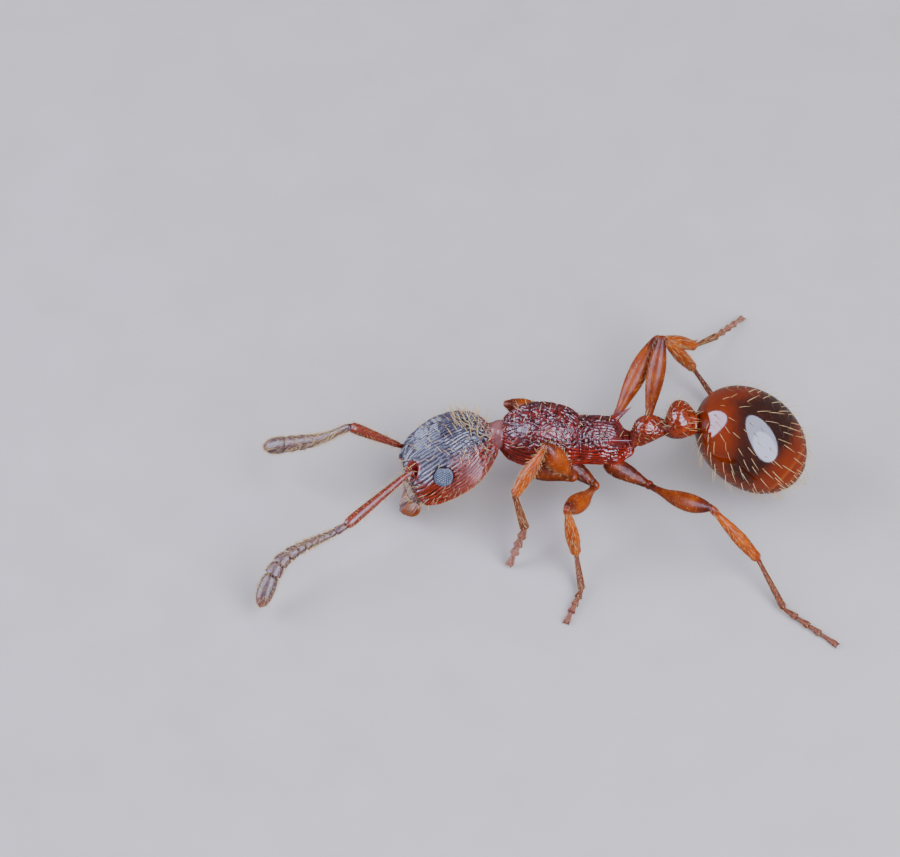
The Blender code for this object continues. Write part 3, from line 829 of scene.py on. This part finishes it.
def make_trunk():
    """The trunk's one skin: pronotum, mesothorax and propodeum with their rough ridges."""
    nodes = ("pronotum", "mesothorax", "propodeum")
    rows = [row for node in nodes for row in rows_of(points_of(node))]
    grid = loft(rows, 330, 480, (0.3, 0.4))
    own = grid.points
    x, y = own[..., 0], own[..., 1]
    first = joint("pronotum", "mesothorax", 0.05)[1]
    second = joint("mesothorax", "propodeum", 0.05)[1]
    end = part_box("propodeum")[1].y / MM
    level = own[..., 2] - np.interp(y, [row[0] for row in rows], [(row[3] + row[4]) / 2 for row in rows])
    belly = ramp(level, -0.20, -0.29)

    relief = trunk_relief(own, level, round_share(grid), first)
    relief = relief * (1 - 0.8 * belly) * (0.88 + 0.2 * noise(own, 0.1, 44))
    height = WRINKLE_HEIGHT * (relief - 0.45)
    seam = bell(y + 0.25 * np.maximum(-level, 0.0) - first, 0.011)
    dip = bell(y - second, 0.030) * ramp(level, -0.1, 0.10)
    height = height * (1 - 0.7 * seam) * (1 - 0.3 * dip) - 0.007 * seam - 0.008 * dip
    gland = np.sqrt((y - end + 0.13) ** 2 + (level + 0.165) ** 2)
    swell = bell(gland, 0.065) * ramp(abs(x), 0.05, 0.11)
    hole = np.sqrt((y - end + 0.22) ** 2 + (level - 0.02) ** 2)
    rim = 0.007 * bell(hole - 0.024, 0.008) - 0.014 * bell(hole, 0.014)
    height = height * (1 - 0.7 * swell) + 0.022 * swell + rim * ramp(abs(x), 0.06, 0.12)
    for name in ("spine_L", "spine_R"):
        away = np.linalg.norm(own - seat(name, "propodeum")[0], axis=-1)
        height = height + 0.026 * bell(away, 0.045)
    grid.lift(height)
    # Painted shade in the grooves between wrinkles and along the seam behind the pronotum.
    groove = grooves(relief, 1.1, 1.8) * (1 - belly) * (1 - 0.6 * swell)
    dusk = ramp(level, 0.06, 0.22) * (0.60 + 0.35 * noise(own, 0.12, 45))
    grid.masks = {"groove": np.maximum(groove, 0.8 * seam), "dusk": np.clip(dusk, 0, 1),
                  "amber": np.clip(0.6 * belly + 0.35 * swell, 0, 1)}
    spines = ("spine_L", "spine_R")
    add_piece("trunk_shell", [grid, *map(make_spine, spines)], "trunk", [*nodes, *spines])
    return grid


def trunk_relief(own, level, share, first):
    """A net on the back, flat warts on the shoulder and long wrinkles on the flanks."""
    x, y = own[..., 0], own[..., 1]
    bent = own + 0.020 * drift(own, 0.06, 40)
    net = cell_ridges(bent, 0.054, 1.15, 50, 0.15)
    net = np.maximum(net, 0.6 * vein_ridges(bent, 0.09, 1.0, 53, 0.005))
    warts = 1 - cell_ridges(bent, 0.056, 1.5, 56, 0.15)
    shoulder = ramp(y + 0.05 * noise(own, 0.15, 59), first + 0.12, first - 0.06)
    net = net + (warts - net) * 0.85 * shoulder
    lines = stripes(share, 38, own, 0.95, 60, 0.9) * (0.80 + 0.32 * noise(own, 0.05, 63))
    lines = np.maximum(lines, 0.75 * vein_ridges(own, 0.085, 0.6, 66, 0.005))
    flank = ramp(abs(x) + 0.02 * noise(own, 0.1, 67), 0.10, 0.20) * ramp(level, 0.20, 0.09)
    flank = np.maximum(flank, ramp(y, first + 0.20, first + 0.40) * 0.6)
    return net * (1 - flank) + lines * flank


def make_spine(name):
    """A spine of the propodeum: straight, tapered to a point."""
    root = seat(name, "propodeum")[0]
    tip = far_end(name, root)
    path = [root - (tip - root) * 0.15, root + (tip - root) * 0.3, tip]
    grid = tube(path, ((0, 0.058), (0.25, 0.040), (0.5, 0.025), (0.8, 0.012), (1, 0.003)), 40, 28)
    wave = 0.5 + 0.5 * np.cos(2 * math.pi * 7 * grid.turn)
    grid.lift(-0.003 * wave * ramp(grid.t, 0.8, 0.2))
    # Painted shade between the spine's ribs.
    grid.masks["groove"] = 0.5 * wave * ramp(grid.t, 0.7, 0.2)
    grid.masks["dusk"] = 0.7 * ramp(grid.t, 0.1, 0.5)
    return grid


def make_waist(name, seed, size, depth, domes):
    """One knot of the waist, finely wrinkled."""
    grid = loft(rows_of(points_of(name)), 110, 200, domes)
    own = grid.points
    relief = cell_ridges(own + 0.010 * drift(own, 0.05, seed), size, 1.5, seed + 4, 0.18)
    z = own[..., 2]
    relief = relief * (1 - 0.7 * ramp(z, z.min() + 0.14, z.min() + 0.03))
    grid.lift(depth * (relief - 0.4))
    # Painted shade in the grooves between the wrinkles.
    grid.masks["groove"] = 0.8 * grooves(relief, 1, 1.7)
    grid.masks["dusk"] = np.clip(0.4 * noise(own, 0.1, seed + 9) + 0.2, 0, 1)
    add_piece(name + "_shell", [grid], "waist", [name])
    return grid


# ---- gaster ----
def gaster_place():
    """The gaster's axes (across, tailwards, up), its centre and half sizes, from its plates."""
    first, last = points_of("gaster_1"), points_of("gaster_3")
    tail = unit(last.mean(0) - first.mean(0))
    across = unit(np.cross(tail, (0.0, 0.0, 1.0)))
    axes = np.stack((across, tail, np.cross(across, tail)), 1)
    middle = (first.min(0) + first.max(0)) / 2
    own = (first - middle) @ axes
    own = own[(abs(own[:, 0]) > 0.05) | (abs(own[:, 2]) > 0.05)]
    solved = np.linalg.lstsq(np.concatenate((own ** 2, own), 1), np.ones(len(own)), rcond=None)[0]
    centre = -solved[3:] / (2 * solved[:3])
    half = np.sqrt((1 + (solved[:3] * centre ** 2).sum()) / solved[:3])
    return axes, middle + axes @ centre, half


def make_gaster():
    """The gaster's plates, each tucked under the one before it."""
    names = ("gaster_1", "gaster_2", "gaster_3")
    axes, centre, half = gaster_place()
    turn = np.linspace(-math.pi / 2, 1.5 * math.pi, 240, endpoint=False)
    grids = []
    for number, name in enumerate(names):
        reach = ((points_of(name) - centre) @ axes)[:, 1] / half[1]
        count, tuck = (190, 0.0) if number == 0 else (60, 0.07)
        ends = np.clip((reach.min() - tuck, reach.max()), -0.999, 0.999)
        angle = np.linspace(*np.arcsin(ends), count)
        along, size = np.sin(angle), np.cos(angle)
        to_rim = (along[-1] - along) * half[1]
        sink, rim = np.zeros(count), np.zeros((count, 1))
        if number > 0:
            sink = -0.005 - 0.010 * ramp(np.linspace(0, 1, count), 0.55, 0.0)
        if number < len(names) - 1:
            sink = sink - 0.003 * np.clip(1 - to_rim / 0.02, 0, 1) ** 2.2
            rim = 0.8 * ramp(to_rim, 0.06, 0.010)[:, None]
        own = np.stack((np.outer(size * half[0] + sink, np.cos(turn)),
                        (along * half[1])[:, None] + 0 * turn,
                        np.outer(size * half[2] + sink, np.sin(turn))), -1)
        grid = Grid(own @ axes.T + centre)
        place, level = own[..., 1] / half[1] + 0.05 * noise(own, 0.3, 71), own[..., 2] / half[2]
        aside = abs(own[..., 0]) / half[0]
        away = abs(place + 0.13 - 0.20 * aside)
        dusk = ramp(away, 0.80 - 0.42 * aside, 0.40 - 0.32 * aside) * ramp(level, -0.10, 0.20)
        dusk = dusk * (0.97 + 0.15 * noise(own, 0.3, 72))
        amber = np.maximum(rim, 0.35 * ramp(level, -0.4, -0.9))
        grid.masks = {"dusk": np.clip(dusk * (1 - amber), 0, 1), "amber": np.clip(amber, 0, 1)}
        grid.lift(0.0012 * noise(own, 0.2, 73))
        add_piece(name + "_plate", [grid], "gaster", [name])
        grids.append(grid)
    return grids


# ---- legs ----
def make_leg(name):
    """One leg, from the coxa to the claws. Returns its grids for the hairs."""
    pair = name.split("_")[0]
    nodes = ["%s_%s" % (part, name) for part in ("coxa", "femur", "tibia", "heel", "tarsus")]
    hip, knee, ankle, heel = (joint(upper, lower) for upper, lower in zip(nodes, nodes[1:]))
    foot = far_end(nodes[-1], heel)
    coxa = make_coxa(nodes[0], pair, hip)
    trochanter, femur = make_femur(nodes[1], pair, hip, knee)
    tibia, shin = make_tibia(nodes[2], hip, knee, ankle)
    spur = make_spur(knee, ankle, heel, shin, pair)
    _, slim = limb_line(nodes[3], ankle, heel)
    sizes = ((0, 0.45), (0.05, 0.70), (0.12, 0.62), (0.5, 0.80), (0.85, 0.95), (0.96, 1.0), (1, 0.6))
    path = [ankle - unit(heel - ankle) * 0.01, (ankle + heel) / 2, heel]
    shank = tube(path, sizes, 50, 28, slim)
    beads = make_beads(pair, heel, foot, slim)
    claws = make_claws(heel, foot)
    for grid in (*beads, *claws, *spur, shank):
        grid.points[..., 2] = np.maximum(grid.points[..., 2], FLOOR_GAP)
    pieces = (([coxa], "leg"), ([trochanter, femur], "leg"), ([tibia, *spur], "leg"),
              ([shank], "foot"), (beads + claws, "foot"))
    for node, (parts, paint) in zip(nodes, pieces):
        add_piece(node + "_shell", parts, paint, [node])
    return {"coxa": coxa, "femur": femur, "tibia": tibia, "heel": shank, "beads": beads}


def make_coxa(node, pair, hip):
    """The finely wrinkled cone that a leg hangs from."""
    host = {"fore": "pronotum", "mid": "mesothorax", "hind": "propodeum"}[pair]
    base, out = seat(node, host)
    _, reach = limb_line(node, base, hip)
    path = [base - out * 0.03, base + out * 0.03, base * 0.45 + hip * 0.55 + out * 0.01, hip]
    sizes = ((0, 0.92), (0.18, 1.0), (0.4, 0.98), (0.62, 0.80), (0.82, 0.58), (0.94, 0.47), (1, 0.34))
    grid = tube(path, sizes, 60, 44, reach * 0.96)
    grid.lift(0.0045 * (cell_ridges(grid.points, 0.042, 1.3, 81) - 0.4))
    # Painted shade in the coxa's wrinkles.
    grid.masks["groove"] = 0.5 * grooves(cell_ridges(grid.points, 0.042, 1.3, 81), 1, 1.7)
    grid.masks["dusk"] = (0.55 if pair == "fore" else 0.85) + 0.3 * noise(grid.points, 0.12, 83)
    return grid


def make_femur(node, pair, hip, knee):
    """The small round trochanter and the club of the femur."""
    line, thigh = limb_line(node, hip, knee)
    way = unit(knee - hip)
    trochanter = tube([hip - way * 0.02, hip + way * 0.03, hip + way * 0.08],
                      ((0, 0.22), (0.2, 0.42), (0.5, 0.50), (0.8, 0.40), (1, 0.20)), 30, 32, thigh)
    trochanter.masks["dusk"] = 0.6
    line[0] = hip + unit(line[1] - hip) * 0.05
    sizes = ((0, 0.30), (0.05, 0.36), (0.12, 0.39), (0.20, 0.45), (0.30, 0.60), (0.40, 0.79),
             (0.50, 0.93), (0.62, 1.0), (0.74, 0.95), (0.86, 0.74), (0.94, 0.53), (1, 0.34))
    femur = tube(line, sizes, 80, 44, thigh * 0.97)
    femur.masks["dusk"] = np.clip(0.9 * ramp(femur.t, 0.80, 0.97) + 0.7 * ramp(femur.t, 0.28, 0.0)
                                  + (0.45 if pair == "hind" else 0.25), 0, 1)
    return trochanter, femur


def make_tibia(node, hip, knee, ankle):
    """The shin, with its knob at the knee, and its widest half thickness."""
    _, shin = limb_line(node, knee, ankle)
    run = ankle - knee
    away = unit(knee - (hip + ankle) / 2)
    path = [knee - unit(run) * 0.012, knee + run * 0.10, knee + run * 0.5 + away * 0.008, ankle]
    sizes = ((0, 0.40), (0.04, 0.56), (0.09, 0.60), (0.15, 0.50), (0.32, 0.74), (0.58, 1.0),
             (0.75, 0.95), (0.90, 0.80), (0.965, 0.78), (1, 0.50))
    grid = tube(path, sizes, 80, 40, shin * 0.97)
    grid.masks["dusk"] = np.clip(0.7 * ramp(grid.t, 0.16, 0.02) + 0.35 * ramp(grid.t, 0.9, 1.0), 0, 1)
    return grid, shin


def make_beads(pair, heel, foot, slim):
    """The four short segments at the end of a tarsus, paler towards the claws."""
    sizes = ((0, 0.40), (0.12, 0.56), (0.5, 0.74), (0.85, 1.0), (0.95, 0.98), (1, 0.55))
    beads = []
    for number, (a, b) in enumerate(((0.0, 0.24), (0.24, 0.46), (0.46, 0.67), (0.67, 0.97))):
        first, last = heel + (foot - heel) * a, heel + (foot - heel) * b
        thick = slim * (1.0 if number < 3 else 0.86)
        bead = tube([first, (first + last) / 2, last], sizes, 22, 26, thick)
        bead.masks["dusk"] = (0.3 + 0.2 * number) * (0.4 if pair == "hind" else 1.0)
        beads.append(bead)
    return beads


def make_claws(heel, foot):
    """Two hooked claws and the pad between them, at the end of a tarsus."""
    way = unit(foot - heel)
    flat = unit(np.array((way[0], way[1], 0.0)))
    aside = np.cross(flat, (0.0, 0.0, 1.0))
    down = np.array((0.0, 0.0, -1.0))
    start = heel + (foot - heel) * 0.95
    claws = []
    for side in (-1.0, 1.0):
        path = [start, start + way * 0.012 + aside * side * 0.018,
                start + flat * 0.022 + aside * side * 0.032 + down * 0.004,
                start + flat * 0.026 + aside * side * 0.034 + down * 0.016]
        claws.append(tube(path, ((0, 0.012), (0.4, 0.009), (0.75, 0.006), (1, 0.0015)), 18, 12))
    path = [start, start + flat * 0.010 + down * 0.006, start + flat * 0.018 + down * 0.012]
    pad = tube(path, ((0, 0.012), (0.4, 0.016), (0.8, 0.014), (1, 0.004)), 12, 14)
    return [*claws, pad]


def make_spur(knee, ankle, heel, shin, pair):
    """The spur at the end of a shin: a comb on the fore leg, plain on the others."""
    way, onward = unit(ankle - knee), unit(heel - ankle)
    inner = unit(onward - way * (onward @ way))
    root = ankle - way * 0.02 + inner * shin * 0.45
    length = 0.16 if pair == "fore" else 0.10
    tip = root + way * length * 0.9 + inner * length * 0.35
    spur = [tube([root, (root + tip) / 2 + inner * 0.010, tip],
                 ((0, 0.010), (0.5, 0.008), (1, 0.0015)), 20, 12)]
    for t in np.linspace(0.25, 0.92, 12) if pair == "fore" else ():
        start = root + (tip - root) * t
        path = [start, start - inner * 0.010 + way * 0.006, start - inner * 0.022 + way * 0.008]
        spur.append(tube(path, ((0, 0.0028), (0.5, 0.002), (1, THINNEST)), 5, 5))
    return spur


# ---- feelers ----
def make_feeler(side):
    """One feeler: scape, the beads of the flagellum and the four-jointed club."""
    scape, stem, club = ("%s_%s" % (part, side) for part in ("scape", "flagellum", "club"))
    elbow = joint(scape, stem)
    grid = make_scape(scape, elbow)
    points = np.concatenate((points_of(stem), points_of(club)))
    middle, walk = middle_line(points, elbow, far_end(club, elbow))
    ends = np.concatenate(((0,), np.cumsum(BEAD_LENGTHS))) / sum(BEAD_LENGTHS)
    beads = []
    for number, width in enumerate(BEAD_WIDTHS):
        at = np.linspace(ends[number], ends[number + 1], 8)
        path = np.stack([np.interp(at, walk, middle[:, k]) for k in range(3)], 1)
        last = number == len(BEAD_WIDTHS) - 1
        if last:
            sizes = ((0, 0.62), (0.05, 0.84), (0.25, 0.98), (0.5, 1.0), (0.72, 0.90), (0.88, 0.62),
                     (0.96, 0.36), (1, 0.08))
        else:
            sizes = ((0, 0.62), (0.08, 0.78), (0.5, 0.93), (0.85, 1.0), (0.95, 0.97), (1, 0.74))
        bead = tube(path, sizes, 44 if last else 22, 36, width)
        bead.lift(0.0008 * noise(bead.points, 0.02, 95))
        # Painted shade at the narrow base of each bead, where it meets the one before.
        bead.masks["groove"] = 0.8 * ramp(bead.t, 0.12, 0.0)
        bead.masks["amber"] = 0.7 * ramp(bead.t, 0.45, 1.0) if last else 0.15
        beads.append(bead)
    for node, parts in ((stem, beads[:7]), (club, beads[7:])):
        add_piece(node + "_beads", parts, "feeler", [node])
    return grid, beads


def make_scape(node, elbow):
    """The long first segment of a feeler, and the ball it turns on in its socket."""
    root, out = seat(node, "head")
    _, reach = limb_line(node, root, elbow)
    run = elbow - root
    bow = unit(out - unit(run) * (out @ unit(run)))
    path = [root - out * 0.03, root + out * 0.035, root + run * 0.25 + bow * 0.020,
            root + run * 0.6 + bow * 0.012, elbow]
    sizes = ((0, 0.42), (0.05, 0.56), (0.09, 0.42), (0.16, 0.55), (0.35, 0.68), (0.65, 0.88),
             (0.86, 0.99), (0.95, 0.94), (0.985, 0.76), (1, 0.5))
    grid = tube(path, sizes, 110, 44, min(reach, 0.058))
    lines = 0.5 + 0.5 * np.cos(2 * math.pi * (14 * grid.turn + 0.5 * noise(grid.points, 0.08, 91)))
    grid.lift(0.0016 * (lines - 0.5))
    # Painted shade between the scape's fine ridges.
    grid.masks["groove"] = 0.5 * (1 - lines)
    grid.masks["ruby"] = ramp(grid.t, 0.10, 0.04)
    ball = tube([root - out * 0.035, root, root + out * 0.035],
                ((0, 0.012), (0.2, 0.032), (0.5, 0.042), (0.8, 0.032), (1, 0.012)), 24, 32)
    ball.masks["ruby"] = 1.0
    add_piece(node + "_shell", [grid, ball], "scape", [node])
    return grid


def middle_line(points, start, end):
    """A smooth middle line through a bent limb's points, and the share of the way at each spot."""
    chord = end - start
    t = (points - start) @ chord / (chord @ chord)
    keep = inner_part(t)

    def bends(at):
        return np.stack([at * (1 - at) * at ** k for k in range(4)], 1)

    fit = np.linalg.lstsq(bends(t[keep]), (points - start - np.outer(t, chord))[keep], rcond=None)[0]
    at = np.linspace(0, 1, 60)
    middle = start + np.outer(at, chord) + bends(at) @ fit
    walk = walked(middle)
    return middle, walk / walk[-1]


# ---- coats ----
def dress_head(grid):
    """Long bristles on the crown and nape, short hair on the sides, more round the mouth."""
    own = to_head(grid.points)
    y, z = own[..., 1], own[..., 2]
    clear = (off_eye("eye_L", own) > 0.125) * (off_eye("eye_R", own) > 0.125) * 1.0
    crown = ramp(z, 0.10, 0.24) * ramp(y, 0.95, 0.7) * clear
    nape = ramp(y, 0.26, 0.06) * ramp(z, 0.02, 0.14)
    sides = ramp(z, 0.16, 0.05) * clear * ramp(y, 0.02, 0.1)
    mouth = ramp(y, 0.86, 0.95) * clear
    coat = Coat(101)
    coat.grow(grid, 84, 0.058, 102, 0.110 + 0.060 * ramp(y, 0.5, 0.1), 0.0038, 0.16, 0.16,
              crown * (0.30 + ramp(y, 0.50, 0.15)), sway=0.07)
    coat.grow(grid, 64, 0.036, 103, 0.170, 0.0042, 0.26, 0.16, nape, sway=0.07)
    coat.grow(grid, 260, 0.040, 104, 0.072, 0.0027, 0.40, 0.25, sides)
    coat.grow(grid, 95, 0.024, 105, 0.115, 0.0032, 0.25, 0.22, mouth, sway=0.09)
    coat.add("head_hairs")


def dress_trunk(grid, petiole, postpetiole):
    """Scattered upright hairs on the trunk's back and waist, a few below."""
    y, z = grid.points[..., 1], grid.points[..., 2]
    level = z - np.median(z)
    sides = ramp(level, 0.12, 0.0) * ramp(level, -0.30, -0.2)
    throat = ramp(y, y.min() + 0.35, y.min() + 0.15) * ramp(level, -0.12, -0.2)
    coat = Coat(201)
    coat.grow(grid, 52, 0.085, 202, 0.105, 0.0035, -0.15, 0.25, ramp(level, 0.10, 0.22))
    coat.grow(grid, 60, 0.080, 203, 0.050, 0.0022, 0.45, 0.2, sides)
    coat.grow(grid, 12, 0.045, 204, 0.12, 0.0026, 0.1, 0.1, throat)
    for body, seed, count in ((petiole, 205, 26), (postpetiole, 206, 44)):
        z = body.points[..., 2]
        high = ramp(z, z.mean() - 0.02, z.mean() + 0.10)
        coat.grow(body, count, 0.045, seed, 0.115, 0.0026, 0.3, 0.2, high + 0.1)
    coat.add("trunk_hairs")


def dress_gaster(grids):
    """Backward-leaning hairs on the gaster, but none at its front or near a plate's tucked edge."""
    coat = Coat(301)
    plan = ((190, 0.082, 0.16, 0.0, 0.6), (34, 0.06, 0.5, 0.6, 0.2), (22, 0.06, 0.5, 0.8, 0.2))
    for number, (grid, (count, spacing, bare, start, share)) in enumerate(zip(grids, plan)):
        free = np.ones(grid.turn.shape)
        free[:int(len(free) * bare)] = 0.0
        coat.grow(grid, count, spacing, 302 + number, 0.165, 0.0035, 0.46, 0.12, free,
                  (0.0, start, 1.0, share), 0.07)
    coat.add("gaster_hairs")


def dress_legs(legs):
    """Short slanting hairs along each leg, dense on the shins and feet."""
    plan = (("coxa", 30, 0.038, 0.055, 0.0020, 0.40), ("femur", 105, 0.032, 0.055, 0.0019, 0.48),
            ("tibia", 165, 0.021, 0.054, 0.0019, 0.46), ("heel", 120, 0.012, 0.044, 0.0018, 0.50))
    for index, (name, grids) in enumerate(legs.items()):
        coat = Coat(401 + index)
        seed = 500 + 20 * index
        for number, (part, count, spacing, length, radius, lean) in enumerate(plan):
            coat.grow(grids[part], count, spacing, seed + number, length, radius, lean, 0.1,
                      window=(0.0, 0.2 * number, 1.0, 0.2))
        for number, bead in enumerate(grids["beads"]):
            coat.grow(bead, 42, 0.008, seed + 10 + number, 0.030, 0.0016, 0.62, 0.1,
                      window=(0.0, 0.8 + 0.05 * number, 1.0, 0.05))
        coat.keep_above_floor()
        coat.add("leg_hairs_" + name)


def dress_feelers(feelers):
    """Slanting bristles on the scapes and a dense short coat on the rest."""
    for index, (side, (scape, beads)) in enumerate(feelers.items()):
        coat = Coat(701 + index)
        seed = 720 + 30 * index
        coat.grow(scape, 170, 0.024, seed, 0.078, 0.0028, 0.30, 0.08,
                  window=(0.0, 0.0, 1.0, 0.3), sway=0.06)
        start = 0.3
        for number, bead in enumerate(beads):
            last = number == len(beads) - 1
            count, share = (230, 0.25) if last else (36 + 7 * number, 0.045)
            coat.grow(bead, count, 0.0095, seed + 1 + number, 0.050, 0.0022, 0.44, 0.10,
                      window=(0.0, start, 1.0, share), sway=0.07)
            start += share
        coat.add("feeler_hairs_" + side)


# ---- stage ----
def add_lamp(name, direction, distance, size, power, tint, roll=0.0, mirrored=True):
    """A soft oval lamp in some direction from the ant, in millimetres; power for each square
    metre of its box. Only a mirrored lamp shows as a window in the shell's gloss."""
    data = bpy.data.lights.new(name, "AREA")
    data.shape = "ELLIPSE"
    data.size, data.size_y = size[0] * MM, size[1] * MM
    data.energy = power * data.size * data.size_y
    data.color = tint
    lamp = add_object(name, data)
    lamp.location = CENTRE + Vector(direction).normalized() * distance * MM
    way = (CENTRE - lamp.location).normalized()
    lamp.rotation_euler = way.to_track_quat("-Z", "Y").to_euler()
    lamp.rotation_euler.rotate_axis("Z", math.radians(roll))
    lamp.visible_glossy = mirrored


def make_stage():
    """Pale floor, soft lamps and plain sky."""
    side = 400.0
    square = np.array(((-1, -1), (1, -1), (1, 1), (-1, 1))) * side / 2
    card = Grid(np.array([[(x, y, z) for x, y in square] for z in (-0.5, 0.0)]))
    floor = add_object("floor", make_mesh("floor", card.corners(), card.faces(), PAINTS["floor"]))
    floor.visible_glossy = False

    add_lamp("lamp_tail_side", (0.455, 0.515, 0.726), 34, (31, 60), 17.0, (0.64, 0.72, 1.0), -34)
    add_lamp("lamp_tail_heart", (0.68, 0.55, 0.57), 34, (25, 36), 9.0, (0.72, 0.78, 1.0), -34)
    add_lamp("lamp_head_side", (-0.03, -0.92, 0.38), 34, (29, 60), 21.0, (0.62, 0.69, 1.0))
    add_lamp("lamp_back", (-0.75, 0.25, 0.60), 40, (34, 34), 3.5, (0.95, 0.96, 1.0), mirrored=False)
    world = bpy.data.worlds.new("studio")
    world.use_nodes = True
    sky = world.node_tree.nodes["Background"].inputs
    sky["Color"].default_value = (0.95, 0.97, 1.0, 1.0)
    sky["Strength"].default_value = 0.16
    bpy.context.scene.world = world


def make_camera():
    """A long lens from the ant's left side and above, framed as the photo is."""
    data = bpy.data.cameras.new("camera")
    data.sensor_width = 36.0
    data.lens = 233.0
    data.clip_start = 0.001
    data.clip_end = 2.0
    camera = add_object("camera", data)
    height = math.radians(CAMERA_HEIGHT)
    way = Vector((math.cos(height), 0.0, math.sin(height)))
    camera.location = CENTRE + Vector(LOOK_AT) * MM + way * CAMERA_DISTANCE * MM
    camera.rotation_euler = (math.pi / 2 - height, 0.0, math.pi / 2)
    bpy.context.scene.camera = camera


# ---- the ant ----
HEAD = make_head()
for name in ("eye_L", "eye_R"):
    make_eye(name)
for name in ("jaw_L", "jaw_R"):
    make_jaw(name)
make_neck()
TRUNK = make_trunk()
PETIOLE = make_waist("petiole", 110, 0.042, 0.0050, (0.2, 0.3))
POSTPETIOLE = make_waist("postpetiole", 130, 0.044, 0.0030, (0.3, 0.3))
GASTER = make_gaster()
LEGS = {name: make_leg(name) for name in ("fore_L", "fore_R", "mid_L", "mid_R", "hind_L", "hind_R")}
FEELERS = {side: make_feeler(side) for side in ("L", "R")}
dress_head(HEAD)
dress_trunk(TRUNK, PETIOLE, POSTPETIOLE)
dress_gaster(GASTER)
dress_legs(LEGS)
dress_feelers(FEELERS)
make_stage()
make_camera()
